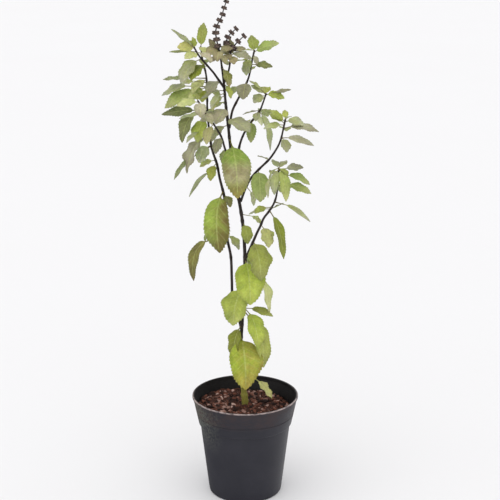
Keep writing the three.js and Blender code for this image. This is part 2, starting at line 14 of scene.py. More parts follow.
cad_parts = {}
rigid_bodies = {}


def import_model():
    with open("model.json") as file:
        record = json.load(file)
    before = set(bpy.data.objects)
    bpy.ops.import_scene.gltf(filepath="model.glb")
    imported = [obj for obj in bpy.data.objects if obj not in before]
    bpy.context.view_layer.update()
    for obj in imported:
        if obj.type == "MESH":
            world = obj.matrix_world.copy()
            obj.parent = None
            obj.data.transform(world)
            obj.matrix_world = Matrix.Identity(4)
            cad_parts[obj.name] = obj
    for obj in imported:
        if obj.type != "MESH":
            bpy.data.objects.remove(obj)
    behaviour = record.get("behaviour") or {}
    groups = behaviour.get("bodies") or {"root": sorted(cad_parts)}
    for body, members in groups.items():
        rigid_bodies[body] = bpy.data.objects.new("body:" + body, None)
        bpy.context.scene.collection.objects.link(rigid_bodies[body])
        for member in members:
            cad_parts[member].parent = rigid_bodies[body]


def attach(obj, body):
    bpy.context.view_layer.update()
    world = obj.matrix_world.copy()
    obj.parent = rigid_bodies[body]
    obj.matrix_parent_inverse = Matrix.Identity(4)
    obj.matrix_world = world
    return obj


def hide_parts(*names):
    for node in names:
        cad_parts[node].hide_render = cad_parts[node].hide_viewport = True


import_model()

# A camphor basil plant in a nursery pot. Tables are in millimetres and degrees, meshes in metres.
# The origin is the centre of the pot's underside. Seen from the front, -Y, +X is to the right.

log = logging.getLogger("camphor_basil")

MM = 0.001
WORD = 0xFFFFFFFF
FULL_TURN = 2 * math.pi


def linear(code: str) -> np.ndarray:
    """The linear colour of a screen colour written as six hexadecimal digits."""
    screen = np.array([int(code[i:i + 2], 16) for i in (0, 2, 4)]) / 255
    return np.where(screen <= 0.04045, screen / 12.92, ((screen + 0.055) / 1.055) ** 2.4)


def rgba(code: str) -> tuple[float, float, float, float]:
    """A screen colour as the four numbers that a colour socket takes."""
    red, green, blue = (float(channel) for channel in linear(code))
    return red, green, blue, 1.0


def ease(low: float, high: float, value: Any) -> Any:
    """A smooth step from 0 at low to 1 at high."""
    share = np.clip((value - low) / (high - low), 0, 1)
    return share * share * (3 - 2 * share)


# Shaders: each finish is arithmetic on the sockets of one principled material.


class Value:
    """A shader socket in arithmetic: an expression on values adds its Math nodes."""

    def __init__(self, shader: "Shader", socket: bpy.types.NodeSocket) -> None:
        """Keeps the socket and the shader that it belongs to."""
        self.shader = shader
        self.socket = socket

    def _math(self, operation: str, *terms: Any) -> "Value":
        """Adds a Math node over the terms and gives its result."""
        settings = {"operation": operation}
        return self.shader.value("ShaderNodeMath", settings, dict(enumerate(terms)))

    def __add__(self, other: Any) -> "Value":
        """The sum."""
        return self._math("ADD", self, other)

    __radd__ = __add__

    def __sub__(self, other: Any) -> "Value":
        """The difference."""
        return self._math("SUBTRACT", self, other)

    def __rsub__(self, other: Any) -> "Value":
        """The difference from a number."""
        return self._math("SUBTRACT", other, self)

    def __mul__(self, other: Any) -> "Value":
        """The product."""
        return self._math("MULTIPLY", self, other)

    __rmul__ = __mul__

    def __abs__(self) -> "Value":
        """The value without its sign."""
        return self._math("ABSOLUTE", self)

    def fraction(self) -> "Value":
        """The part behind the decimal point."""
        return self._math("FRACT", self)

    def step(self, low: float, high: float) -> "Value":
        """A smooth step from 0 at low to 1 at high, which may be the smaller of the two."""
        rising = high > low
        numbers = {"Value": self, "From Min": min(low, high), "From Max": max(low, high),
                   "To Min": 0.0 if rising else 1.0, "To Max": 1.0 if rising else 0.0}
        settings = {"interpolation_type": "SMOOTHSTEP"}
        return self.shader.value("ShaderNodeMapRange", settings, numbers)


class Shader:
    """A material under construction."""

    def __init__(self, name: str) -> None:
        """Starts an empty material.

        Args:
            name: the material's name.
        """
        self.material = bpy.data.materials.new(name)
        self.material.use_nodes = True
        self.tree = self.material.node_tree
        self.tree.nodes.clear()

    def node(self, kind: str, settings: Mapping[str, Any] | None = None,
             values: Mapping[Any, Any] | None = None) -> bpy.types.Node:
        """Adds a node.

        Args:
            kind: the node's type.
            settings: its properties, which are set first.
            values: a number, a colour or a Value for each socket, by name or place.

        Returns:
            The node.
        """
        node = self.tree.nodes.new(kind)
        for key, setting in (settings or {}).items():
            setattr(node, key, setting)
        for key, value in (values or {}).items():
            if isinstance(value, Value):
                self.tree.links.new(value.socket, node.inputs[key])
            else:
                node.inputs[key].default_value = value
        return node

    def value(self, kind: str, settings: Mapping[str, Any] | None = None,
              values: Mapping[Any, Any] | None = None, output: Any = 0) -> Value:
        """Adds a node and gives one of its outputs, as the arguments of node and output say."""
        return Value(self, self.node(kind, settings, values).outputs[output])

    def place(self) -> Value:
        """The place on the object."""
        return self.value("ShaderNodeTexCoord", output="Object")

    def part(self, vector: Value) -> tuple[Value, Value, Value]:
        """The three numbers of a vector."""
        x, y, z = self.node("ShaderNodeSeparateXYZ", values={0: vector}).outputs
        return Value(self, x), Value(self, y), Value(self, z)

    def attribute(self, name: str, output: str) -> Value:
        """One output of a named attribute of the mesh."""
        return self.value("ShaderNodeAttribute", {"attribute_name": name}, output=output)

    def noise(self, place: Value, scale: float, detail: float = 2.0,
              roughness: float = 0.5) -> Value:
        """Smooth noise over the surface, around 0.5.

        Args:
            place: the coordinates that it follows.
            scale: how many waves a metre holds.
            detail: how many finer layers it has.
            roughness: how strong the finer layers are.

        Returns:
            The noise as a number.
        """
        numbers = {"Vector": place, "Scale": scale, "Detail": detail, "Roughness": roughness}
        return self.value("ShaderNodeTexNoise", None, numbers)

    def stretched(self, place: Value, scale: tuple[float, float, float]) -> Value:
        """Coordinates that run faster or slower along each axis."""
        return self.value("ShaderNodeMapping", None, {"Vector": place, "Scale": scale})

    def mix(self, low: Any, high: Any, share: Any) -> Value:
        """A colour between two colours.

        Args:
            low: the colour where share is 0.
            high: the colour where share is 1.
            share: how far between the two.

        Returns:
            The mixed colour.
        """
        values = {0: share, 6: low, 7: high}
        return self.value("ShaderNodeMix", {"data_type": "RGBA"}, values, output=2)

    def scaled(self, colour: Value, factor: Value) -> Value:
        """A colour made lighter or darker by a factor."""
        values = {0: colour, "Scale": factor}
        return self.value("ShaderNodeVectorMath", {"operation": "SCALE"}, values)

    def bump(self, height: Value, depth: float, strength: float = 1.0) -> Value:
        """The normal over a relief of a given depth in metres."""
        numbers = {"Strength": strength, "Distance": depth, "Height": height}
        return self.value("ShaderNodeBump", None, numbers)

    def finish(self, varying: Mapping[str, Any], fixed: Mapping[str, Any]) -> bpy.types.Material:
        """Ends the material in one principled surface.

        Args:
            varying: the sockets that follow a pattern.
            fixed: the sockets that are the same all over.

        Returns:
            The material.
        """
        surface = self.value("ShaderNodeBsdfPrincipled", None, {**fixed, **varying})
        self.node("ShaderNodeOutputMaterial", None, {"Surface": surface})
        return self.material


@dataclass(frozen=True)
class LeafFinish:
    """The soft, short-haired surface of a basil leaf."""

    roughness: float = 0.58
    vein: str = "bcc67c"
    underside: str = "a3ab80"
    stalk: str = "6f6140"
    margin: str = "7a6a3c"
    blotch_waves: float = 85.0
    mottle_waves: float = 420.0
    cloud_waves: float = 170.0
    dry_waves: float = 260.0
    hair_waves: float = 1500.0
    relief_depth: float = 0.0004

    def material(self) -> bpy.types.Material:
        """Makes the leaf material, which reads the blade, tint and blotch attributes."""
        shader = Shader("leaf_blade")
        along, across, face = shader.part(shader.attribute("blade", "Vector"))
        place = shader.place()
        off_rib = abs(across)
        patches = shader.noise(place, self.blotch_waves, 3.0, 0.6)
        amount = shader.attribute("blotch", "Alpha")
        blotched = (patches + amount * 0.5).step(0.46, 0.98)
        tint, blotch = (shader.attribute(name, "Color") for name in ("tint", "blotch"))
        colour = shader.mix(tint, blotch, blotched)
        run = (along * BLADE.veins - off_rib * (BLADE.veins * BLADE.vein_slope)).fraction()
        vein = abs(run - 0.5).step(0.40, 0.485) * off_rib.step(0.98, 0.70) * along.step(0.0, 0.05)
        midrib = off_rib.step(0.085, 0.03) * along.step(-0.02, 0.06)
        below = face.step(-0.1, -0.4)
        colour = shader.mix(colour, rgba(self.underside), below * 0.5)
        colour = shader.mix(colour, rgba(self.vein), vein * (below * 0.2 + 0.22))
        colour = shader.mix(colour, rgba(self.vein), midrib * 0.34)
        dry = shader.noise(place, self.dry_waves).step(0.42, 0.62)
        colour = shader.mix(colour, rgba(self.margin), off_rib.step(0.88, 1.0) * dry * 0.5)
        colour = shader.mix(colour, rgba(self.stalk), along.step(0.04, -0.35) * 0.85)
        mottle = shader.noise(place, self.mottle_waves, 3.0, 0.65)
        clouds = shader.noise(place, self.cloud_waves)
        # The blade is painted darker towards its edges and a little lighter elsewhere: painted
        # shade that stands in for the light's contrast. The mottle and clouds are the leaf's own
        # uneven tone.
        edge = off_rib.step(0.5, 1.0) * along.step(0.0, 0.2)
        colour = shader.scaled(colour, (mottle * 0.9 + clouds * 0.8 + 0.18) * (1.05 - edge * 0.24))
        hairs = shader.noise(place, self.hair_waves, 2.0, 0.7)
        relief = hairs * 0.5 - (vein * 0.7 + midrib) * (1 - below * 2)
        varying = {"Base Color": colour,
                   "Roughness": hairs * 0.2 + (self.roughness - 0.1),
                   "Normal": shader.bump(relief, self.relief_depth, 0.6)}
        fixed = {"Subsurface Weight": 0.22, "Subsurface Scale": 0.0012,
                 "Subsurface Radius": (0.6, 1.0, 0.3), "Specular IOR Level": 0.22}
        return shader.finish(varying, fixed)


@dataclass(frozen=True)
class StemFinish:
    """The woody foot and the dark purplish stems above it."""

    foot: str = "938d40"
    bark: str = "1f1917"
    sheen: str = "3a302d"
    foot_top: float = 0.138
    bark_from: float = 0.172
    darkening_top: float = 0.124
    darkening_foot: float = 0.108
    streak_waves: float = 1400.0
    streak_stretch: tuple[float, float, float] = (1.0, 1.0, 0.12)
    band_waves: float = 90.0
    relief_depth: float = 0.0003

    def material(self) -> bpy.types.Material:
        """Makes the stem material, with streaks that run up the stem."""
        shader = Shader("stem_bark")
        place = shader.place()
        height = shader.part(place)[2]
        drawn_out = shader.stretched(place, self.streak_stretch)
        streaks = shader.noise(drawn_out, self.streak_waves, 3.0, 0.6)
        bands = shader.noise(place, self.band_waves)
        shiny = (streaks + bands * 0.5).step(0.62, 0.95)
        bark = shader.mix(rgba(self.bark), rgba(self.sheen), shiny)
        woody = (height + bands * 0.02).step(self.bark_from, self.foot_top)
        colour = shader.mix(bark, rgba(self.foot), woody * (streaks * 0.9 + bands * 0.3 + 0.26))
        # Darker towards the soil line.
        darkened = height.step(self.darkening_top, self.darkening_foot)
        colour = shader.scaled(colour, 1 - darkened * 0.4)
        varying = {"Base Color": colour, "Roughness": streaks * 0.25 + 0.45,
                   "Normal": shader.bump(streaks, self.relief_depth, 0.6)}
        return shader.finish(varying, {"Specular IOR Level": 0.22})


@dataclass(frozen=True)
class HairFinish:
    """The short pale hairs on the stems."""

    root: str = "6d6250"
    tip: str = "c9c3ae"

    def material(self) -> bpy.types.Material:
        """Makes the hair material, paler from hair to hair."""
        shader = Shader("stem_hair")
        shade = shader.attribute("shade", "Fac")
        colour = shader.mix(rgba(self.root), rgba(self.tip), shade)
        return shader.finish({"Base Color": colour, "Roughness": shade * 0.2 + 0.5},
                             {"Specular IOR Level": 0.3})


@dataclass(frozen=True)
class SoilFinish:
    """Reddish bark soil: dark gaps, brown chips and a few dusty pinkish ones."""

    dark: str = "22120c"
    brown: str = "6b4031"
    dusty: str = "cdb0a6"
    grain_waves: float = 420.0
    grain_stretch: tuple[float, float, float] = (1.0, 1.0, 2.5)
    crumb_waves: float = 1300.0
    damp_waves: float = 55.0
    relief_depth: float = 0.0006

    def material(self) -> bpy.types.Material:
        """Makes the soil material, which reads each chip's shade."""
        shader = Shader("bark_soil")
        place = shader.place()
        shade = shader.attribute("shade", "Fac")
        layered = shader.stretched(place, self.grain_stretch)
        grain = shader.noise(layered, self.grain_waves, 4.0, 0.65)
        crumbs = shader.noise(place, self.crumb_waves, 3.0, 0.7)
        darkened = shader.noise(place, self.damp_waves).step(0.60, 0.35) * 0.16
        tone = shade * 0.75 + grain * 0.35 - 0.08 - darkened
        colour = shader.mix(rgba(self.dark), rgba(self.brown), tone.step(0.12, 0.5))
        colour = shader.mix(colour, rgba(self.dusty), tone.step(0.55, 0.92) * 0.85)
        varying = {"Base Color": colour, "Roughness": crumbs * 0.15 + 0.8,
                   "Normal": shader.bump(grain + crumbs * 0.6, self.relief_depth, 0.8)}
        return shader.finish(varying, {"Specular IOR Level": 0.25})


@dataclass(frozen=True)
class PotFinish:
    """Satin black nursery plastic, dusty with soil around its rim band."""

    plastic: str = "141420"
    worn: str = "22212b"
    dust: str = "46322d"
    scurf: str = "555850"
    # The pale line along the top of the lip: a painted highlight, partly rubbed soil dust.
    rim: str = "b9a7a4"
    # Near black for the inside of the mouth: painted shade.
    inside_shade: str = "080707"
    roughness: float = 0.40
    cloud_waves: float = 26.0
    scuff_waves: float = 170.0
    scuff_stretch: tuple[float, float, float] = (1.0, 1.0, 5.0)
    speck_waves: float = 330.0
    grain_waves: float = 2400.0
    relief_depth: float = 0.00012

    def material(self) -> bpy.types.Material:
        """Makes the plastic, with scuffs, handling marks, rim dust, a painted highlight on the lip
        and painted shade inside the mouth.
        """
        shader = Shader("pot_plastic")
        place = shader.place()
        side, depth, height = shader.part(place)
        clouds = shader.noise(place, self.cloud_waves, 3.0, 0.6)
        around = shader.stretched(place, self.scuff_stretch)
        scuffs = shader.noise(around, self.scuff_waves, 4.0, 0.7)
        specks = shader.noise(place, self.speck_waves, 4.0, 0.75)
        grain = shader.noise(place, self.grain_waves)
        rim, band_foot = POT.height * MM, POT.band_foot * MM
        groove = (POT.height - POT.groove_below_rim) * MM
        band = height.step(groove - 0.006, groove + 0.003)
        worn = (clouds + scuffs * 0.4).step(0.58, 0.95)
        colour = shader.mix(rgba(self.plastic), rgba(self.worn), worn * 0.55)
        dusty = (clouds * 0.7 + scuffs * 0.5).step(0.42, 0.78) * band
        front = depth.step(0.02, -0.03)
        colour = shader.mix(colour, rgba(self.dust), dusty * (side.step(0.0, -0.04) * 0.3 + 0.5))
        flank = side.step(-0.022, -0.052) * height.step(0.050, 0.095) * depth.step(0.05, 0.02)
        scurfy = (specks + clouds * 0.4).step(0.58, 0.86) * flank
        colour = shader.mix(colour, rgba(self.scurf), scurfy * 0.8)
        # A thin pale line along the top of the lip, strongest at the front: a painted highlight,
        # partly rubbed soil dust.
        lip = height.step(rim - 0.0016, rim - 0.0006)
        lip_dust_and_highlight = lip * scuffs.step(0.32, 0.58) * (front * 0.62 + 0.18)
        colour = shader.mix(colour, rgba(self.rim), lip_dust_and_highlight)
        # The inside wall above the soil is painted nearly black: painted shade in the pot's mouth.
        flat = shader.value("ShaderNodeCombineXYZ", None, {0: side, 1: depth})
        radius = shader.value("ShaderNodeVectorMath", {"operation": "LENGTH"}, {0: flat}, "Value")
        wall = height * POT.inside_slope + POT.inside_reach * MM
        above = height.step(band_foot + 0.004, band_foot + 0.006)
        painted_inside_shade = (radius - wall).step(0.0009, 0.0003) * above
        colour = shader.mix(colour, rgba(self.inside_shade), painted_inside_shade * 0.92)
        left = side.step(0.005, -0.05) * 0.35
        varying = {"Base Color": colour,
                   "Roughness": (self.roughness - 0.05) + scuffs * 0.16 + dusty * 0.25 + left,
                   "Normal": shader.bump(scuffs * 0.4 + grain * 0.5, self.relief_depth, 0.5)}
        return shader.finish(varying, {"Specular IOR Level": 0.42})


@dataclass(frozen=True)
class FlowerFinish:
    """Dry, downy purplish-brown calyces."""

    deep: str = "2c2322"
    brown: str = "5f4d46"
    downy: str = "9c9184"
    down_waves: float = 1800.0
    relief_depth: float = 0.0003

    def material(self) -> bpy.types.Material:
        """Makes the calyx material, which reads each calyx's shade."""
        shader = Shader("dry_calyx")
        place = shader.place()
        shade = shader.attribute("shade", "Fac")
        down = shader.noise(place, self.down_waves, 3.0, 0.7)
        lit = (shade * 0.7 + down * 0.5).step(0.3, 0.9)
        colour = shader.mix(rgba(self.deep), rgba(self.brown), lit)
        colour = shader.mix(colour, rgba(self.downy), (down + shade * 0.2).step(0.60, 0.82) * 0.3)
        return shader.finish({"Base Color": colour, "Roughness": down * 0.2 + 0.65,
                              "Normal": shader.bump(down, self.relief_depth, 0.7)},
                             {"Specular IOR Level": 0.3})


@dataclass(frozen=True)
class FloorFinish:
    """The pale floor that the pot stands on."""

    pale: str = "ecebec"
    hazy: str = "ededee"
    haze_waves: float = 1.5

    def material(self) -> bpy.types.Material:
        """Makes the plain floor material."""
        shader = Shader("studio_floor")
        haze = shader.noise(shader.place(), self.haze_waves)
        colour = shader.mix(rgba(self.pale), rgba(self.hazy), haze)
        return shader.finish({"Base Color": colour, "Roughness": haze * 0.05 + 0.85},
                             {"Specular IOR Level": 0.1})


# Meshes: closed bodies in millimetres, gathered into pieces in metres.


@dataclass
class Body:
    """One closed body: points in millimetres, faces, and what each point carries."""

    points: np.ndarray
    faces: list[tuple[int, ...]]
    carried: dict[str, np.ndarray] = field(default_factory=dict)


def circle(sides: int) -> np.ndarray:
    """The points of a flat circle of radius 1, counterclockwise from +X."""
    turn = np.arange(sides) * FULL_TURN / sides
    return np.stack([np.cos(turn), np.sin(turn)], axis=1)


def lifted(flat: np.ndarray, height: Any) -> np.ndarray:
    """Flat points raised to one height, or each to its own."""
    return np.column_stack([flat, np.broadcast_to(height, len(flat))])


def linked(name: str, data: bpy.types.ID) -> bpy.types.Object:
    """A new object for a mesh, a lamp or a camera, linked to the scene."""
    made = bpy.data.objects.new(name, data)
    bpy.context.scene.collection.objects.link(made)
    return made


def loft(rings: np.ndarray, tip: np.ndarray | None = None) -> Body:
    """Joins rings of points into one closed body.

    Args:
        rings: stations by sides by 3, each ring counterclockwise about the way forward.
        tip: a last point that closes the body, or None for a flat end.

    Returns:
        The body.
    """
    count, sides = rings.shape[:2]
    points = rings.reshape(-1, 3)
    place = np.arange(sides)
    following = (place + 1) % sides
    faces: list[tuple[int, ...]] = [tuple(int(j) for j in place[::-1])]
    for i in range(count - 1):
        low, high = i * sides, (i + 1) * sides
        quads = np.stack([low + place, low + following, high + following, high + place], axis=1)
        faces.extend(tuple(quad) for quad in quads.tolist())
    last = (count - 1) * sides
    if tip is None:
        faces.append(tuple(int(last + j) for j in place))
    else:
        points = np.vstack([points, tip])
        faces.extend((int(last + j), int(last + k), count * sides)
                     for j, k in zip(place, following))
    return Body(points, faces)


def tube(path: np.ndarray, radii: np.ndarray, sides: int, squareness: float = 0.07) -> Body:
    """A tube with a rounded end along a path that climbs.

    Args:
        path: its points.
        radii: its radius at each.
        sides: how many points a ring has.
        squareness: how far its four corners stand out, as a share of the radius.

    Returns:
        The body.
    """
    forward = np.gradient(path, axis=0)
    forward /= np.linalg.norm(forward, axis=1, keepdims=True)
    across = np.cross(np.array([0.0, 1.0, 0.0]), forward)
    across /= np.linalg.norm(across, axis=1, keepdims=True)
    third = np.cross(forward, across)
    angle = (np.arange(sides) + 0.5) * FULL_TURN / sides
    reach = radii[:, None] * (1 + squareness * np.cos(4 * (angle - math.pi / 4)))[None, :]
    rings = (path[:, None, :]
             + (reach * np.cos(angle))[:, :, None] * across[:, None, :]
             + (reach * np.sin(angle))[:, :, None] * third[:, None, :])
    dome = path[-1] + forward[-1] * radii[-1] * 0.5
    shrunk = dome + (rings[-1] - path[-1]) * 0.7
    return loft(np.concatenate([rings, shrunk[None]]), path[-1] + forward[-1] * radii[-1] * 0.8)


class PieceMaker:
    """Gathers closed bodies into one mesh object."""

    KINDS = {1: ("FLOAT", "value"), 3: ("FLOAT_VECTOR", "vector"), 4: ("FLOAT_COLOR", "color")}

    def __init__(self, name: str) -> None:
        """Starts an empty piece."""
        self.name = name
        self.bodies: list[Body] = []

    def add(self, body: Body) -> None:
        """Adds a body."""
        self.bodies.append(body)

    def make(self, material: bpy.types.Material, crease: str | None = None) -> bpy.types.Object:
        """Makes the object, at the origin and with its place in its mesh.

        Args:
            material: its finish.
            crease: a carried value that marks the points whose joining edges stay sharp.

        Returns:
            The object, linked to the scene.
        """
        starts = np.cumsum([0] + [len(body.points) for body in self.bodies])
        points = np.vstack([body.points for body in self.bodies]) * MM
        faces = [tuple(index + int(start) for index in face)
                 for body, start in zip(self.bodies, starts) for face in body.faces]
        mesh = bpy.data.meshes.new(self.name)
        mesh.from_pydata(points.tolist(), [], faces)
        mesh.polygons.foreach_set("use_smooth", np.ones(len(mesh.polygons), dtype=bool))
        for key in self.bodies[0].carried:
            values = np.concatenate([body.carried[key] for body in self.bodies])
            kind, field_name = self.KINDS[1 if values.ndim == 1 else values.shape[1]]
            layer = mesh.attributes.new(key, kind, "POINT")
            layer.data.foreach_set(field_name, values.astype(np.float32).ravel())
        if crease is not None:
            marked = np.concatenate([body.carried[crease] for body in self.bodies]) > 0.5
            ends = np.empty(2 * len(mesh.edges), dtype=np.int32)
            mesh.edges.foreach_get("vertices", ends)
            sharp = marked[ends.reshape(-1, 2)].all(axis=1)
            mesh.attributes.new("sharp_edge", "BOOLEAN", "EDGE").data.foreach_set("value", sharp)
        mesh.materials.append(material)
        mesh.validate()
        return linked(self.name, mesh)


def settle(piece: bpy.types.Object, slot: str, *nodes: str) -> None:
    """Puts a finished piece on the plant's body and reports it.

    Args:
        piece: the piece.
        slot: the name of a material slot, which is not used.
        nodes: the solids that it stands for.
    """
    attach(piece, "root")
    if nodes:
        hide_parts(*nodes)
    solids = ", ".join(nodes) or "no solid"
    log.info("%s: %d faces for %s", piece.name, len(piece.data.polygons), solids)


class NodeRecipe:
    """A Geometry Nodes tree under construction, with named inputs."""

    def __init__(self, name: str, inputs: Mapping[str, str]) -> None:
        """Starts a tree that takes and gives geometry.

        Args:
            name: the tree's name.
            inputs: the kind of each further input, such as Float, by its name.
        """
        self.tree = bpy.data.node_groups.new(name, "GeometryNodeTree")
        sockets = self.tree.interface
        sockets.new_socket(name="Geometry", in_out="INPUT", socket_type="NodeSocketGeometry")
        for label, kind in inputs.items():
            sockets.new_socket(name=label, in_out="INPUT", socket_type="NodeSocket" + kind)
        sockets.new_socket(name="Geometry", in_out="OUTPUT", socket_type="NodeSocketGeometry")
        self.entry = self.tree.nodes.new("NodeGroupInput")

    def given(self, label: str) -> bpy.types.NodeSocket:
        """The tree's own input of that name."""
        return self.entry.outputs[label]

    def node(self, kind: str, settings: Mapping[str, Any] | None = None,
             values: Mapping[Any, Any] | None = None) -> bpy.types.Node:
        """Adds a node.

        Args:
            kind: the node's type.
            settings: its properties, which are set first.
            values: a number or a socket to link for each input, by name or place.

        Returns:
            The node.
        """
        node = self.tree.nodes.new(kind)
        for key, setting in (settings or {}).items():
            setattr(node, key, setting)
        for key, value in (values or {}).items():
            if isinstance(value, bpy.types.NodeSocket):
                self.tree.links.new(value, node.inputs[key])
            else:
                node.inputs[key].default_value = value
        return node

    def maths(self, operation: str, first: Any, second: Any) -> bpy.types.NodeSocket:
        """Adds a Math node on two numbers or sockets and gives its result."""
        values = {0: first, 1: second}
        return self.node("ShaderNodeMath", {"operation": operation}, values).outputs[0]

    def random(self, low: Any, high: Any, seed: int) -> bpy.types.NodeSocket:
        """Draws a number, or a vector, for each element.

        Args:
            low: the smallest number or its socket, or a tuple for a vector.
            high: the largest, in the same form.
            seed: the seed of the draw.

        Returns:
            The draw.
        """
        vector = isinstance(low, tuple)
        first, place = (0, 0) if vector else (2, 1)
        settings = {"data_type": "FLOAT_VECTOR" if vector else "FLOAT"}
        values = {first: low, first + 1: high, "Seed": seed}
        return self.node("FunctionNodeRandomValue", settings, values).outputs[place]

    def turned(self, rotation: bpy.types.NodeSocket,
               angles: bpy.types.NodeSocket) -> bpy.types.NodeSocket:
        """A rotation with three further turns about its own axes."""
        further = self.node("FunctionNodeEulerToRotation", None, {0: angles})
        both = self.node("FunctionNodeRotateRotation", {"rotation_space": "LOCAL"},
                         {"Rotation": rotation, "Rotate By": further.outputs[0]})
        return both.outputs[0]

    def repeated(self, points: bpy.types.NodeSocket, instance: bpy.types.NodeSocket,
                 rotation: bpy.types.NodeSocket, scale: bpy.types.NodeSocket,
                 pick: bool = False) -> bpy.types.NodeSocket:
        """Puts an instance on each point.

        Args:
            points: where the instances go.
            instance: what is repeated.
            rotation: the rotation of each.
            scale: the size of each.
            pick: whether each point takes one of several instances.

        Returns:
            The instances.
        """
        placed = self.node("GeometryNodeInstanceOnPoints", None,
                           {"Points": points, "Instance": instance, "Pick Instance": pick,
                            "Rotation": rotation, "Scale": scale})
        return placed.outputs[0]

    def strewn(self, instance: bpy.types.NodeSocket, scale: bpy.types.NodeSocket, tilt: float,
               seed: int, pick: bool = False,
               where: bpy.types.NodeSocket | None = None) -> bpy.types.NodeSocket:
        """Strews instances over the surface, as its Density and Seed inputs say.

        Args:
            instance: what is strewn.
            scale: the size of each.
            tilt: how far each leans at most, in radians.
            seed: the seed of the leans.
            pick: whether each spot takes one of several instances.
            where: which faces take instances, or None for all.

        Returns:
            The instances.
        """
        values = {"Mesh": self.given("Geometry"), "Density": self.given("Density"),
                  "Seed": self.given("Seed")}
        if where is not None:
            values["Selection"] = where
        settings = {"distribute_method": "RANDOM"}
        spots = self.node("GeometryNodeDistributePointsOnFaces", settings, values)
        lean = self.random((-tilt, -tilt, 0.0), (tilt, tilt, FULL_TURN), seed)
        laid = self.turned(spots.outputs["Rotation"], lean)
        return self.repeated(spots.outputs["Points"], instance, laid, scale, pick)

    def shaded(self, instances: bpy.types.NodeSocket, seed: int) -> bpy.types.NodeSocket:
        """Gives each instance a shade of its own between 0 and 1.

        Args:
            instances: the instances.
            seed: the seed of the draw.

        Returns:
            The instances with their shade.
        """
        settings = {"data_type": "FLOAT", "domain": "INSTANCE"}
        values = {"Geometry": instances, "Name": "shade", "Value": self.random(0.0, 1.0, seed)}
        return self.node("GeometryNodeStoreNamedAttribute", settings, values).outputs[0]

    def end(self, instances: bpy.types.NodeSocket) -> None:
        """Ends the tree in real geometry that wears the material input."""
        real = self.node("GeometryNodeRealizeInstances", None, {"Geometry": instances})
        worn = self.node("GeometryNodeSetMaterial", None,
                         {"Geometry": real.outputs[0], "Material": self.given("Material")})
        self.node("NodeGroupOutput", None, {"Geometry": worn.outputs[0]})

    def run(self, carrier: bpy.types.Object, values: Mapping[str, Any],
            name: str) -> bpy.types.Object:
        """Runs the tree on an object and keeps the result as a plain mesh.

        Args:
            carrier: the object that carries the geometry, which is removed afterwards.
            values: what each named input is.
            name: the new object's name.

        Returns:
            The new object.
        """
        modifier = carrier.modifiers.new("recipe", "NODES")
        modifier.node_group = self.tree
        for item in self.tree.interface.items_tree:
            if item.in_out == "INPUT" and item.name in values:
                modifier[item.identifier] = values[item.name]
        graph = bpy.context.evaluated_depsgraph_get()
        mesh = bpy.data.meshes.new_from_object(carrier.evaluated_get(graph), depsgraph=graph)
        mesh.name = name
        carrier.modifiers.remove(modifier)
        bpy.data.objects.remove(carrier)
        return linked(name, mesh)


def joined(name: str, pieces: Sequence[bpy.types.Object]) -> bpy.types.Object:
    """Joins objects into one, with their attributes and materials.

    Args:
        name: the name of the result.
        pieces: the objects, of which the first is kept.

    Returns:
        The joined object.
    """
    kept = pieces[0]
    with bpy.context.temp_override(active_object=kept, selected_editable_objects=list(pieces)):
        bpy.ops.object.join()
    kept.name = kept.data.name = name
    return kept


def draws(seed: int) -> Iterator[float]:
    """The same even draws between 0 and 1 that place the chips of the soil's solid."""
    state = seed
    while True:
        state = (state + 0x6D2B79F5) & WORD
        mixed = ((state ^ (state >> 15)) * (1 | state)) & WORD
        mixed ^= (mixed + (mixed ^ (mixed >> 7)) * (61 | mixed)) & WORD
        yield ((mixed ^ (mixed >> 14)) & WORD) / 2 ** 32


# The pot.


@dataclass(frozen=True)
class Corner:
    """A corner of a turned profile, in millimetres."""

    radius: float
    height: float
    rounding: float = 0.0


def rounded(corners: Sequence[Corner], steps: int = 4, guard: float = 0.7) -> np.ndarray:
    """A profile with its corners rounded and held by a point on each side.

    Args:
        corners: the corners in order.
        steps: how many pieces a rounding has.
        guard: how far from a rounding the points that hold it stand.

    Returns:
        The profile's points, as radius and height.
    """
    points: list[np.ndarray] = []
    plain = [np.array([corner.radius, corner.height]) for corner in corners]
    for i, corner in enumerate(corners):
        if corner.rounding == 0 or i in (0, len(corners) - 1):
            points.append(plain[i])
            continue
        towards = [plain[i - 1] - plain[i], plain[i + 1] - plain[i]]
        lengths = [float(np.linalg.norm(way)) for way in towards]
        ways = [way / length for way, length in zip(towards, lengths)]
        cut = min(corner.rounding, lengths[0] * 0.45, lengths[1] * 0.45)
        start, end = plain[i] + ways[0] * cut, plain[i] + ways[1] * cut
        if lengths[0] > 6 * guard:
            points.append(start + ways[0] * guard)
        for share in np.linspace(0, 1, steps + 1):
            left = 1 - share
            points.append(left ** 2 * start + 2 * share * left * plain[i] + share ** 2 * end)
        if lengths[1] > 6 * guard:
            points.append(end + ways[1] * guard)
    return np.array(points)


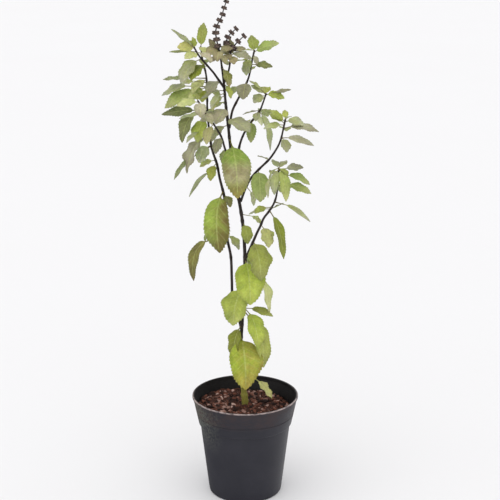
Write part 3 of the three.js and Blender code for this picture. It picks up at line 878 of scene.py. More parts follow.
@dataclass(frozen=True)
class Pot:
    """A round tapered nursery pot with a deep rim band."""

    height: float = 125.4
    rim_radius: float = 65
    band_height: float = 35.4
    band_foot_radius: float = 57.3
    band_step: float = 1.8
    shoulder_below: float = 3
    shoulder_above: float = 2
    foot_radius: float = 44.8
    foot_rounding: float = 2.8
    wall: float = 1.6
    floor: float = 2.2
    lip_height: float = 3
    lip_overhang: float = 0.9
    groove_below_rim: float = 21.4
    groove_width: float = 1.6
    groove_depth: float = 0.7
    drain_holes: int = 8
    drain_radius: float = 4.2
    drain_circle: float = 31
    drain_sides: int = 32
    sides: int = 176
    sharp_angle: float = 50

    @property
    def band_foot(self) -> float:
        """The height at which the rim band starts."""
        return self.height - self.band_height

    @property
    def lip_foot(self) -> float:
        """The height at which the lip starts."""
        return self.height - self.lip_height

    @property
    def shoulder(self) -> tuple[float, float]:
        """The heights between which the inside widens into the band."""
        return self.band_foot - self.shoulder_below, self.band_foot + self.shoulder_above

    def band_radius(self, height: float) -> float:
        """The outside radius of the rim band at a height."""
        share = (height - self.band_foot) / (self.band_height - self.lip_height)
        top = self.rim_radius - self.lip_overhang
        return self.band_foot_radius + (top - self.band_foot_radius) * share

    def inside(self, height: float) -> float:
        """The inside radius of the wall at a height."""
        outside = [self.foot_radius, self.band_foot_radius - self.band_step,
                   self.band_radius(self.shoulder[1]), self.band_radius(self.lip_foot)]
        heights = [self.floor, *self.shoulder, self.lip_foot]
        return float(np.interp(height, heights, [radius - self.wall for radius in outside]))

    @property
    def inside_slope(self) -> float:
        """How much wider the inside of the band grows for each millimetre up."""
        wider = self.inside(self.lip_foot) - self.inside(self.shoulder[1])
        return wider / (self.band_height - self.lip_height - self.shoulder_above)

    @property
    def inside_reach(self) -> float:
        """The inside radius of the band, carried on down to the ground."""
        top = self.shoulder[1]
        return self.inside(top) - self.inside_slope * top

    def profile(self) -> np.ndarray:
        """The turned section from the middle of the underside round to the middle of the floor."""
        groove = self.height - self.groove_below_rim
        low = groove - self.groove_width
        lip_foot = self.lip_foot
        mouth = self.rim_radius - self.lip_overhang - self.wall
        shoulder_foot, shoulder_top = self.shoulder
        return rounded([
            Corner(0, 0),
            Corner(self.foot_radius, 0, self.foot_rounding),
            Corner(self.band_foot_radius - self.band_step, self.band_foot - 0.4, 0.6),
            Corner(self.band_foot_radius, self.band_foot, 0.8),
            Corner(self.band_radius(low), low, 0.3),
            Corner(self.band_radius(low) - self.groove_depth, low + self.groove_width / 2, 0.3),
            Corner(self.band_radius(groove), groove, 0.3),
            Corner(self.band_radius(lip_foot), lip_foot, 0.3),
            Corner(self.rim_radius, lip_foot + 0.4, 0.6),
            Corner(self.rim_radius, self.height, 1.1),
            Corner(mouth + 0.1, self.height, 0.9),
            Corner(self.inside(lip_foot), lip_foot - 1, 0.6),
            Corner(self.inside(shoulder_top), shoulder_top, 0.8),
            Corner(self.inside(shoulder_foot), shoulder_foot, 1.0),
            Corner(self.inside(self.floor), self.floor, 1.4),
            Corner(0, self.floor),
        ])

    def wall_body(self) -> Body:
        """The turned wall and floor as one closed body."""
        profile = self.profile()
        around = circle(self.sides)
        rings = np.stack([lifted(around * radius, height) for radius, height in profile[1:-1]])
        body = loft(rings, np.array([0.0, 0.0, profile[-1, 1]]))
        middle = len(body.points)
        hub = np.array([[0.0, 0.0, profile[0, 1]]])
        fan = [(middle, (j + 1) % self.sides, j) for j in range(self.sides)]
        return Body(np.vstack([body.points, hub]), fan + body.faces[1:])

    def drill(self, index: int) -> Body:
        """The drill for one drain hole."""
        angle = (index + 0.5) * FULL_TURN / self.drain_holes
        centre = self.drain_circle * np.array([math.cos(angle), math.sin(angle)])
        hole = self.drain_radius * circle(self.drain_sides) + centre
        return loft(np.stack([lifted(hole, height) for height in (-self.floor, 2 * self.floor)]))

    def build(self) -> None:
        """Makes the pot and drills its floor."""
        material = PotFinish().material()
        maker = PieceMaker("nursery_pot")
        maker.add(self.wall_body())
        wall = maker.make(material)
        drills = PieceMaker("drain_drills")
        for index in range(self.drain_holes):
            drills.add(self.drill(index))
        cutter = drills.make(material)
        cut = wall.modifiers.new("drain", "BOOLEAN")
        cut.operation, cut.solver, cut.object = "DIFFERENCE", "EXACT", cutter
        graph = bpy.context.evaluated_depsgraph_get()
        mesh = bpy.data.meshes.new_from_object(wall.evaluated_get(graph), depsgraph=graph)
        wall.modifiers.remove(cut)
        wall.data = mesh
        bpy.data.objects.remove(cutter)
        mesh.set_sharp_from_angle(angle=math.radians(self.sharp_angle))
        settle(wall, "pot_plastic", "pot")


POT = Pot()


# The soil.


@dataclass(frozen=True)
class Layer:
    """A layer of strewn chips: how many a square metre has, and their half-lengths in metres."""

    name: str
    density: float
    seed: int
    smallest: float
    largest: float


@dataclass(frozen=True)
class Soil:
    """Bark soil, mounded and uneven, with chips bedded in it."""

    below_rim: float = 16.9
    mound: float = 4
    lean: float = 4
    roughness: float = 1.1
    gap: float = 0.3
    chips: int = 44
    chip_length: tuple[float, float] = (6, 12)
    chip_seed: int = 11
    chip_sink: float = 0.4
    bed_shade: float = 0.25
    rings: int = 46
    sides: int = 150
    sheet_rings: int = 14
    sheet_sides: int = 48
    shard_kinds: int = 6
    shard_seed: int = 100
    shard_stations: tuple[float, ...] = (-0.62, -0.15, 0.3, 0.72)
    shard_sides: int = 8
    layers: tuple[Layer, ...] = (Layer("loose_chips", 40000.0, 21, 0.0018, 0.0044),
                                 Layer("crumbs", 120000.0, 31, 0.0005, 0.0013))

    @property
    def level(self) -> float:
        """The height of the soil at the wall, before its mound and its lean."""
        return POT.height - self.below_rim

    @property
    def outer(self) -> float:
        """The radius of the rough top."""
        return POT.inside(self.level - 3) - 2 * self.gap

    def top(self, x: float, y: float) -> float:
        """The even height of the soil at a place, in millimetres."""
        edge = POT.inside(self.level)
        share = math.hypot(x, y) / edge
        mound = self.mound * (1 - share ** 2) - self.lean * x / edge * share
        lumps = (math.sin(0.21 * x + 1.3) * math.cos(0.26 * y - 0.4)
                 + 0.6 * math.sin(0.5 * x - 0.43 * y))
        return self.level + mound + self.roughness * lumps

    def rough_top(self, x: float, y: float) -> float:
        """The height with the crumbly relief of the soil between the chips."""
        relief = smooth_noise.fractal(Vector((x * 0.22, y * 0.22, 3.1)), 0.8, 2.1, 4)
        pits = smooth_noise.noise(Vector((x * 0.75, y * 0.75, 9.4)))
        return self.top(x, y) + 0.9 * relief + 0.7 * pits

    def bed_body(self) -> Body:
        """The soil plug with its crumbly top."""
        around = circle(self.sides)
        foot, top = POT.shoulder
        walls = [(POT.floor + self.gap, 0.0), (foot, 0.0), (top, 0.15)]
        rings = [lifted(around * (POT.inside(height) - self.gap - extra), height)
                 for height, extra in walls]
        for i in range(self.rings):
            flat = around * self.outer * (1 - i / self.rings)
            rings.append(lifted(flat, [self.rough_top(x, y) for x, y in flat]))
        body = loft(np.stack(rings), np.array([0.0, 0.0, self.rough_top(0, 0)]))
        shade = np.full(len(body.points), self.bed_shade)
        return Body(body.points, body.faces, {"shade": shade})

    def shard(self, seed: int) -> Body:
        """A splintered chip of half-length 1 along X, with a few dozen faces."""
        rng = np.random.default_rng(seed)
        sides = self.shard_sides
        across, up = circle(sides).T
        rings = []
        for along in self.shard_stations:
            reach = (1 - along ** 2) ** 0.5 * rng.uniform(0.8, 1.1, sides)
            rings.append(np.column_stack([along + rng.uniform(-0.1, 0.1, sides),
                                          reach * across * 0.95, reach * up * 0.9]))
        return loft(np.stack(rings), np.array([rng.uniform(0.88, 1.0), 0.0, 0.0]))

    def bedded_chips(self) -> Iterator[Body]:
        """The large chips, where the soil's solid has them."""
        random = draws(self.chip_seed)
        shortest, longest = self.chip_length
        reach = self.outer * math.cos(math.pi / 30) - longest / 2 - 1
        for index in range(self.chips):
            distance = math.sqrt(next(random)) * reach
            angle = FULL_TURN * next(random)
            x, y = distance * math.cos(angle), distance * math.sin(angle)
            half = (shortest + (longest - shortest) * next(random)) / 2
            width = 0.55 + 0.3 * next(random)
            tilt, turn = 0.5 * (next(random) - 0.5), FULL_TURN * next(random)
            shard = self.shard(index)
            points = shard.points * np.array([half, half * width, half * 0.34])
            lean = np.array([[math.cos(tilt), 0, math.sin(tilt)], [0, 1, 0],
                             [-math.sin(tilt), 0, math.cos(tilt)]])
            spin = np.array([[math.cos(turn), -math.sin(turn), 0],
                             [math.sin(turn), math.cos(turn), 0], [0, 0, 1]])
            place = np.array([x, y, self.top(x, y) + self.chip_sink])
            points = points @ lean.T @ spin.T + place
            shade = np.full(len(points), (index * 0.618) % 1.0)
            yield Body(points, shard.faces, {"shade": shade})

    def scatter(self, layer: Layer, shards: bpy.types.Collection,
                material: bpy.types.Material) -> bpy.types.Object:
        """Scatters small chips over the top of the soil.

        Args:
            layer: how many, and their sizes and seed.
            shards: the chips to pick from.
            material: their finish.

        Returns:
            The chips as one object.
        """
        recipe = NodeRecipe(layer.name, {"Density": "Float", "Seed": "Int", "Smallest": "Float",
                                         "Largest": "Float", "Chips": "Collection",
                                         "Material": "Material"})
        length = recipe.random(recipe.given("Smallest"), recipe.given("Largest"), layer.seed + 2)
        slim = recipe.random((0.8, 0.4, 0.25), (1.2, 0.75, 0.5), layer.seed + 3)
        shape = recipe.node("ShaderNodeVectorMath", {"operation": "SCALE"},
                            {0: slim, "Scale": length})
        kinds = recipe.node("GeometryNodeCollectionInfo", None,
                            {"Collection": recipe.given("Chips"), "Separate Children": True,
                             "Reset Children": True})
        placed = recipe.strewn(kinds.outputs[0], shape.outputs[0], 0.55, layer.seed + 1, pick=True)
        recipe.end(recipe.shaded(placed, layer.seed + 4))
        values = {"Density": layer.density, "Seed": layer.seed, "Smallest": layer.smallest,
                  "Largest": layer.largest, "Chips": shards, "Material": material}
        return recipe.run(self.surface(layer.name + "_surface"), values, layer.name)

    def surface(self, name: str) -> bpy.types.Object:
        """The top of the soil as an open sheet that chips are scattered on."""
        sides = self.sheet_sides
        radii = np.linspace(POT.inside(self.level) - 3.0, 4.0, self.sheet_rings)
        spots = [spot for radius in radii for spot in (circle(sides) * radius).tolist()]
        points = [(x * MM, y * MM, self.top(x, y) * MM) for x, y in spots]
        faces = [(i + j, i + (j + 1) % sides, i + sides + (j + 1) % sides, i + sides + j)
                 for i in range(0, (len(radii) - 1) * sides, sides) for j in range(sides)]
        mesh = bpy.data.meshes.new(name)
        mesh.from_pydata(points, [], faces)
        return linked(name, mesh)

    def build(self) -> None:
        """Makes the soil bed, its bedded chips and its loose chips and crumbs."""
        material = SoilFinish().material()
        bed = PieceMaker("soil_bed")
        bed.add(self.bed_body())
        for chip in self.bedded_chips():
            bed.add(chip)
        settle(bed.make(material), "soil", "soil")
        shards = bpy.data.collections.new("bark_shards")
        for index in range(self.shard_kinds):
            maker = PieceMaker(f"bark_shard_{index}")
            shard = self.shard(self.shard_seed + index)
            maker.add(Body(shard.points / MM, shard.faces))
            piece = maker.make(material)
            bpy.context.scene.collection.objects.unlink(piece)
            shards.objects.link(piece)
        loose = [self.scatter(layer, shards, material) for layer in self.layers]
        for piece in list(shards.objects):
            bpy.data.objects.remove(piece)
        bpy.data.collections.remove(shards)
        settle(joined("loose_bark", loose), "soil")


# The plant: blades, stems, hairs and flower spikes.


@dataclass(frozen=True)
class LeafTone:
    """The colours of a leaf: its face, its blotches and how much they take, and its tip.

    A flank above 0 turns more of the blade's right half to the blotch colour, and a middle is the
    colour of a belt across it.
    """

    face: str
    blotch: str
    share: float
    tip: str
    flank: float = 0.0
    middle: str = ""


class Tone(Enum):
    """The colourings that the plant's leaves have."""

    LIME = LeafTone("a5af5a", "778445", 0.30, "b2b77c")
    BRIGHT = LeafTone("aeba5a", "7d8c3d", 0.22, "b5bb6a")
    AGEING = LeafTone("9cae46", "9a8e50", 0.30, "b6aa5b", 0.35)
    OLIVE = LeafTone("a2ab5d", "828553", 0.34, "989e66")
    PALE = LeafTone("c2c797", "acb286", 0.30, "cbcca7")
    MAUVE = LeafTone("a8aa8e", "898982", 0.36, "9b9c8d")
    TAUPE = LeafTone("9e9e91", "7b786e", 0.36, "8b877e")
    BRONZE = LeafTone("8a8963", "6f6f3d", 0.36, "938473")
    BRONZED = LeafTone("8aa553", "787151", 0.30, "9a8e55", 0.0, "ada897")
    HALVED = LeafTone("99ad55", "71673a", 0.42, "6a6346", 0.55)
    UMBER = LeafTone("7b7b4a", "5d583a", 0.40, "60583a")
    DEEP = LeafTone("808661", "5f643a", 0.36, "787864")
    GREEN = LeafTone("99a769", "7c875a", 0.30, "aaab89")
    SMOKE = LeafTone("a8b07d", "92938e", 0.36, "b1b4ab")
    BLUISH = LeafTone("c7cdb7", "a6ac9f", 0.30, "d3d4cc")
    STRAW = LeafTone("aeac7c", "9c9b61", 0.30, "bbb684")
    CROWN = LeafTone("aba58b", "7b7061", 0.42, "938a7b")
    ROSE = LeafTone("b7b2a8", "928c7e", 0.34, "a7a39a")
    GOLD = LeafTone("ada88b", "928d70", 0.28, "aba590")
    MOSS = LeafTone("808937", "656a2d", 0.34, "878d46")


@dataclass(frozen=True)
class Blade:
    """The build that all blades share, in millimetres where it is a length."""

    fold: float = 0.14
    stalk_bend: float = 0.3
    veins: float = 7.0
    vein_slope: float = 0.22
    half_thickness: float = 0.2
    rib: float = 0.6
    quilt: float = 0.024
    wave: float = 0.13
    tooth_depth: float = 0.42
    tooth_growth: float = 0.013
    tooth_spacing: float = 3.0
    tooth_top: float = 0.72
    stalk_radius: float = 0.42
    stalk_growth: float = 0.0075
    stalk_stations: int = 5
    curl: float = 5.0
    twist: float = 9.0
    unevenness: float = 0.05
    columns: tuple[float, ...] = (1.0, 0.84, 0.58, 0.32, 0.1, 0.0, -0.1, -0.32, -0.58, -0.84, -1.0)
    phases: tuple[float, ...] = (0.0, 0.36, 0.72, 0.88)

    def bend(self, share: float) -> float:
        """How much of the droop has happened at a place along the blade."""
        return self.stalk_bend + (1 - self.stalk_bend) * (1 - (1 - share) ** 2)

    def outline(self, share: np.ndarray) -> np.ndarray:
        """The half-width along the blade, from 0 at the stalk to 1 at the widest place."""
        rise, fall = 0.6, 0.85
        widest = rise / (rise + fall)
        return share ** rise * (1 - share) ** fall / (widest ** rise * (1 - widest) ** fall)


BLADE = Blade()


class ShootPath:
    """A smooth line through a shoot's points, found by height."""

    STEPS = 10

    def __init__(self, points: Sequence[Sequence[float]]) -> None:
        """Runs a smooth curve through the points."""
        knots = np.array(points, dtype=float)
        padded = np.vstack([2 * knots[0] - knots[1], knots, 2 * knots[-1] - knots[-2]])
        share = np.arange(self.STEPS)[:, None] / self.STEPS
        runs = []
        for a, b, c, d in zip(padded, padded[1:], padded[2:], padded[3:]):
            runs.append(0.5 * (2 * b + (c - a) * share + (2 * a - 5 * b + 4 * c - d) * share ** 2
                               + (3 * b - a - 3 * c + d) * share ** 3))
        self.points = np.vstack([*runs, knots[-1:]])
        self.share = np.linspace(0, 1, len(self.points))

    def at(self, height: float) -> np.ndarray:
        """The point of the line at a height."""
        order = self.points[:, 2]
        return np.array([np.interp(height, order, self.points[:, axis]) for axis in range(3)])


@dataclass(frozen=True)
class Leaf:
    """One leaf as it stands on its shoot, in millimetres and degrees."""

    height: float
    azimuth: float
    length: float
    width: float
    pitch: float
    droop: float
    roll: float
    stalk: float
    tone: Tone

    def frame(self, bend: float, curl: float = 0.0, twist: float = 0.0) -> np.ndarray:
        """The way forward, across and up from the blade where some of the droop has happened.

        Args:
            bend: how much of the droop has happened.
            curl: how far the leaf has turned sideways, in degrees.
            twist: how far it has rolled about its own length, in degrees.

        Returns:
            The three ways, one a row.
        """
        turn = math.radians(self.azimuth + curl)
        rise = math.radians(self.pitch - self.droop * bend)
        roll = math.radians(self.roll + twist)
        level = math.cos(rise)
        forward = np.array([math.cos(turn) * level, math.sin(turn) * level, math.sin(rise)])
        side = np.array([-math.sin(turn), math.cos(turn), 0.0])
        across = side * math.cos(roll) + np.cross(forward, side) * math.sin(roll)
        return np.stack([forward, across, np.cross(forward, across)])

    def body(self, root: np.ndarray, rng: np.random.Generator) -> Body:
        """The whole leaf as one closed body, stalk first.

        Args:
            root: the point on the stem's middle line that the stalk starts from.
            rng: what its small irregularities are drawn from.

        Returns:
            The body with its blade places and colours.
        """
        columns = np.array([*BLADE.columns, *BLADE.columns[-2:0:-1]])
        upper = len(BLADE.columns)
        face = np.concatenate([[0], np.ones(upper - 2), [0], -np.ones(upper - 2)])
        round_y, round_z = circle(len(columns)).T
        edge = np.abs(columns) == 1
        thick = BLADE.stalk_radius + BLADE.stalk_growth * self.length
        curl = rng.uniform(-BLADE.curl, BLADE.curl)
        twist = rng.uniform(-BLADE.twist, BLADE.twist)
        uneven = rng.uniform(-BLADE.unevenness, BLADE.unevenness)
        wave_at, wave_run = rng.uniform(0, FULL_TURN, 2), rng.uniform(1.5, 2.4)

        rings, spots, marks = [], [], []
        chord = self.frame(BLADE.stalk_bend / 2)[0]
        for share in np.linspace(0, 1, BLADE.stalk_stations + 1)[:-1]:
            ways = self.frame(BLADE.stalk_bend * share)
            radius = thick * (1.25 - 0.45 * ease(0, 0.4, share))
            centre = root + chord * self.stalk * share
            rings.append(centre + np.outer(round_y * radius, ways[1])
                         + np.outer(round_z * radius, ways[2]))
            spots.append(np.column_stack([np.full(len(columns), share - 1), columns * 0.1, face]))
            marks.append(np.zeros(len(columns)))
        centre = root + chord * self.stalk
        teeth = int(np.clip(round(self.length / BLADE.tooth_spacing), 5, 16))
        before = 0.0
        for tooth in range(teeth):
            for phase in BLADE.phases:
                share = max((tooth + phase) / teeth, 0.004)
                ways = self.frame(BLADE.bend((share + before) / 2), curl * share, 0)
                centre = centre + ways[0] * (share - before) * self.length
                before = share
                ways = self.frame(BLADE.bend(share), curl * share, twist * share)
                half = max(self.width / 2 * float(BLADE.outline(np.array(share))), thick * 0.8)
                top = BLADE.tooth_top
                notch = 1 - phase / top if phase < top else (phase - top) / (1 - top)
                toothed = ease(0.06, 0.16, share) * ease(1.0, 0.93, share)
                deepest = BLADE.tooth_depth + BLADE.tooth_growth * self.length
                depth = min(deepest / half, 0.24) * toothed
                sideways = half * columns * (1 + uneven * columns)
                sideways = np.where(edge, sideways * (1 - depth * notch), sideways)
                ahead = np.where(edge, depth * half * (1 - notch) * 0.8, 0.0)
                off = np.abs(columns)
                run = BLADE.veins * (share - BLADE.vein_slope * off)
                quilt = BLADE.quilt * self.width * np.sin(math.pi * run) ** 2 * off * (1.15 - off)
                swing = np.where(columns > 0, *wave_at) + FULL_TURN * wave_run * share
                wave = BLADE.wave * half * np.sin(swing) * off ** 2 * ease(0.0, 0.2, share)
                lift = BLADE.fold * half * off + quilt + wave
                rib = BLADE.rib * (1 - share) ** 0.8 * np.exp(-(sideways / 0.8) ** 2)
                skin = BLADE.half_thickness * np.sqrt(np.clip(1 - columns ** 2, 0, 1)) + 0.02
                below = np.where(face < 0, -skin - rib, 0.0)
                heights = lift + np.where(face > 0, skin - rib * 0.25, below)
                grown = ease(0.0, 0.08, share)
                heights = round_z * thick * 0.8 * (1 - grown) + heights * grown
                sideways = round_y * half * (1 - grown) + sideways * grown
                rings.append(centre + np.outer(sideways, ways[1]) + np.outer(heights, ways[2])
                             + np.outer(ahead, ways[0]))
                spots.append(np.column_stack([np.full(len(columns), share), columns, face]))
                marks.append(edge * 1.0)
        tip = centre + self.frame(1, curl, twist)[0] * (1 - before) * self.length
        body = loft(np.stack(rings), tip)
        blade = np.vstack([*spots, [[1, 0, 0]]])
        margin = np.concatenate([*marks, [1.0]])
        carried = {"blade": blade, "margin": margin, **self.colours(blade, rng)}
        return Body(body.points, body.faces, carried)

    def colours(self, blade: np.ndarray, rng: np.random.Generator) -> dict[str, np.ndarray]:
        """The tint and blotch colours at each point of the blade.

        Args:
            blade: each point's place along and across the blade and its face.
            rng: what the leaf's own shade is drawn from.

        Returns:
            The tint, and the blotch colour with the share that it takes as its fourth number.
        """
        tone = self.tone.value
        lightness = rng.uniform(0.90, 1.10)
        hue = np.array([rng.uniform(0.96, 1.04), 1.0, rng.uniform(0.94, 1.06)])
        shade = GAIN * lightness * hue
        ends = ease(0.45, 1.0, blade[:, :1])
        tint = linear(tone.face) * (1 - ends) + linear(tone.tip) * ends
        if tone.middle:
            belt = ease(0.22, 0.5, blade[:, :1]) * ease(0.86, 0.58, blade[:, :1])
            tint = tint * (1 - belt) + linear(tone.middle) * belt
        amount = np.full(len(blade), tone.share)
        if tone.flank:
            amount = np.clip(tone.share + 0.9 * tone.flank * blade[:, 1], 0, 1.1)
        blotch = np.broadcast_to(linear(tone.blotch) * shade, (len(blade), 3))
        return {"tint": np.column_stack([tint * shade, np.ones(len(blade))]),
                "blotch": np.column_stack([blotch, amount])}


@dataclass(frozen=True)
class Shoot:
    """A stem or branch with its leaves and the heights of the scars of lost ones."""

    name: str
    path: tuple[tuple[float, float, float], ...]
    radii: tuple[float, ...]
    sides: int
    leaves: tuple[tuple[Any, ...], ...]
    scars: tuple[float, ...] = ()
    station_spacing: float = 1.6
    knot_swell: float = 0.2
    knot_reach: float = 1.8
    knot_spacing: float = 5

    def line(self) -> ShootPath:
        """The shoot's middle line."""
        return ShootPath(self.path)

    def stem_body(self) -> Body:
        """The stem, four-sided with rounded corners and swollen at each pair of leaves."""
        line = self.line()
        spacing = np.linalg.norm(np.diff(line.points, axis=0), axis=1)
        run = np.concatenate([[0], np.cumsum(spacing)])
        stations = np.linspace(0, run[-1], max(int(run[-1] / self.station_spacing), 12))
        path = np.stack([np.interp(stations, run, line.points[:, i]) for i in range(3)], axis=1)
        shares = np.interp(stations, run, line.share)
        radii = np.interp(shares, np.linspace(0, 1, len(self.radii)), self.radii)
        knots = {round(row[0] / self.knot_spacing) * self.knot_spacing for row in self.leaves}
        for height in knots | set(self.scars):
            swell = np.exp(-((path[:, 2] - height) / self.knot_reach) ** 2)
            radii = radii * (1 + self.knot_swell * swell)
        return tube(path, radii, self.sides)

    def build(self, leaf_finish: bpy.types.Material, stem_finish: bpy.types.Material) -> None:
        """Makes the shoot's stem and its leaves as two pieces.

        Args:
            leaf_finish: the leaves' material.
            stem_finish: the stem's material.
        """
        stem = PieceMaker(self.name + "_stem")
        stem.add(self.stem_body())
        settle(stem.make(stem_finish), "stem", self.name)
        line = self.line()
        seed = sum(ord(letter) * (i + 1) for i, letter in enumerate(self.name))
        rng = np.random.default_rng(seed)
        leaves = PieceMaker(self.name + "_leaves")
        for row in self.leaves:
            leaf = Leaf(*row)
            leaves.add(leaf.body(line.at(leaf.height), rng))
        settle(leaves.make(leaf_finish, "margin"), "leaf", self.name)


@dataclass(frozen=True)
class StemHairs:
    """Short pale hairs that stand out from every stem."""

    density: float = 260000.0
    seed: int = 5
    shortest: float = 0.0005
    longest: float = 0.0011
    radius: float = 0.00005
    lowest: float = 0.112
    tilt: float = 0.6

    def build(self, shoots: Sequence[Shoot]) -> None:
        """Grows the hairs on copies of the stems and keeps the hairs alone.

        Args:
            shoots: the shoots whose stems are hairy.
        """
        material = HairFinish().material()
        stems = PieceMaker("hairy_stems")
        for shoot in shoots:
            stems.add(shoot.stem_body())
        recipe = NodeRecipe("stem_hairs", {"Density": "Float", "Seed": "Int", "Shortest": "Float",
                                           "Longest": "Float", "Hair Radius": "Float",
                                           "Lowest": "Float", "Material": "Material"})
        place = recipe.node("GeometryNodeInputPosition")
        height = recipe.node("ShaderNodeSeparateXYZ", None, {0: place.outputs[0]})
        above = recipe.node("FunctionNodeCompare", {"operation": "GREATER_THAN"},
                            {0: height.outputs[2], 1: recipe.given("Lowest")})
        hair = recipe.node("GeometryNodeMeshCone", {"fill_type": "NGON"},
                           {"Vertices": 3, "Radius Top": 0.0,
                            "Radius Bottom": recipe.given("Hair Radius"), "Depth": 1.0})
        length = recipe.random(recipe.given("Shortest"), recipe.given("Longest"), 4)
        size = recipe.node("ShaderNodeCombineXYZ", None, {0: 1.0, 1: 1.0, 2: length})
        placed = recipe.strewn(hair.outputs[0], size.outputs[0], self.tilt, 3,
                               where=above.outputs[0])
        recipe.end(recipe.shaded(placed, 6))
        values = {"Density": self.density, "Seed": self.seed, "Shortest": self.shortest,
                  "Longest": self.longest, "Hair Radius": self.radius, "Lowest": self.lowest,
                  "Material": material}
        settle(recipe.run(stems.make(material), values, "stem_hairs"), "stem")


@dataclass(frozen=True)
class FlowerSpike:
    """A spike of dry calyces in whorls round a thin axis."""

    name: str
    path: tuple[tuple[float, float, float], ...]
    spacing: float = 6.8
    calyces: int = 8
    calyx_length: float = 4.9
    calyx_sides: int = 6
    calyx_rise: float = 60
    radii: tuple[float, float] = (1.0, 0.6)
    bare_share: float = 0.6
    whorl_radius: float = 0.4
    whorl_turn: float = 0.55
    tip_size: float = 0.75

    def calyx_body(self) -> Body:
        """One bell-shaped calyx of length 1 along +Z, with a toothed and hollow mouth."""
        across, deep = circle(self.calyx_sides).T
        zigzag = (-1.0) ** np.arange(self.calyx_sides)
        rings = []
        for height, radius, tooth in ((0.0, 0.14, 0.0), (0.18, 0.40, 0.0), (0.5, 0.52, 0.0),
                                      (0.82, 0.46, 0.10), (0.62, 0.26, 0.0)):
            reach = radius * (1 + tooth * zigzag)
            rings.append(np.column_stack([reach * across, reach * deep * 0.85,
                                          height + tooth * zigzag]))
        return loft(np.stack(rings), np.array([0.0, 0.0, 0.5]))

    def build(self, material: bpy.types.Material) -> None:
        """Makes the spike's axis and repeats its whorls along it.

        Args:
            material: the calyces' finish.
        """
        line = ShootPath(self.path)
        maker = PieceMaker(self.name + "_axis")
        axis = tube(line.points, np.interp(line.share, [0, 1], self.radii), 8)
        maker.add(Body(axis.points, axis.faces, {"shade": np.full(len(axis.points), 0.2)}))
        stem = maker.make(material)

        sample = PieceMaker(self.name + "_calyx")
        calyx = self.calyx_body()
        sample.add(Body(calyx.points / MM, calyx.faces))
        bell = sample.make(material)
        recipe = NodeRecipe(self.name, {"Calyx": "Object", "Spacing": "Float", "Calyces": "Int",
                                        "Calyx Length": "Float", "Rise": "Float",
                                        "Material": "Material"})
        bells = recipe.node("GeometryNodeObjectInfo", None,
                            {"Object": recipe.given("Calyx"), "As Instance": True})
        ring = recipe.node("GeometryNodeMeshCircle", {"fill_type": "NONE"},
                           {"Vertices": recipe.given("Calyces"), "Radius": self.whorl_radius * MM})
        index = recipe.node("GeometryNodeInputIndex")
        share = recipe.maths("DIVIDE", index.outputs[0], recipe.given("Calyces"))
        around = recipe.maths("MULTIPLY", share, FULL_TURN)
        lean = recipe.node("ShaderNodeCombineXYZ", None, {1: recipe.given("Rise"), 2: around})
        leant = recipe.node("FunctionNodeEulerToRotation", None, {0: lean.outputs[0]})
        uneven = recipe.random(0.8, 1.15, 2)
        length = recipe.maths("MULTIPLY", uneven, recipe.given("Calyx Length"))
        whorl = recipe.repeated(ring.outputs[0], bells.outputs["Geometry"],
                                leant.outputs[0], length)
        solid = recipe.node("GeometryNodeRealizeInstances", None,
                            {"Geometry": recipe.shaded(whorl, 8)})
        curve = recipe.node("GeometryNodeMeshToCurve", None, {"Mesh": recipe.given("Geometry")})
        knots = recipe.node("GeometryNodeResampleCurve", {"mode": "LENGTH"},
                            {"Curve": curve.outputs[0], "Length": recipe.given("Spacing")})
        along = recipe.node("GeometryNodeSplineParameter")
        tangent = recipe.node("GeometryNodeInputTangent")
        upright = recipe.node("FunctionNodeAlignRotationToVector", {"axis": "Z"},
                              {"Vector": tangent.outputs[0]})
        step = recipe.maths("MULTIPLY", along.outputs["Index"], self.whorl_turn)
        spin = recipe.node("ShaderNodeCombineXYZ", None, {2: step})
        laid = recipe.turned(upright.outputs[0], spin.outputs[0])
        taper = recipe.node("ShaderNodeMapRange", None,
                            {"Value": along.outputs["Factor"], "To Min": 1.0,
                             "To Max": self.tip_size})
        recipe.end(recipe.repeated(knots.outputs[0], solid.outputs[0], laid, taper.outputs[0]))

        wire = bpy.data.meshes.new(self.name + "_wire")
        start = int(ShootPath.STEPS * self.bare_share)
        points = line.points[start:] * MM
        wire.from_pydata(points.tolist(), [(i, i + 1) for i in range(len(points) - 1)], [])
        values = {"Calyx": bell, "Spacing": self.spacing * MM, "Calyces": self.calyces,
                  "Calyx Length": self.calyx_length * MM, "Rise": math.radians(self.calyx_rise),
                  "Material": material}
        whorls = recipe.run(linked(wire.name, wire), values, self.name + "_whorls")
        bpy.data.objects.remove(bell)
        settle(joined(self.name + "_whorls", [stem, whorls]), "flower", self.name)


# The studio.


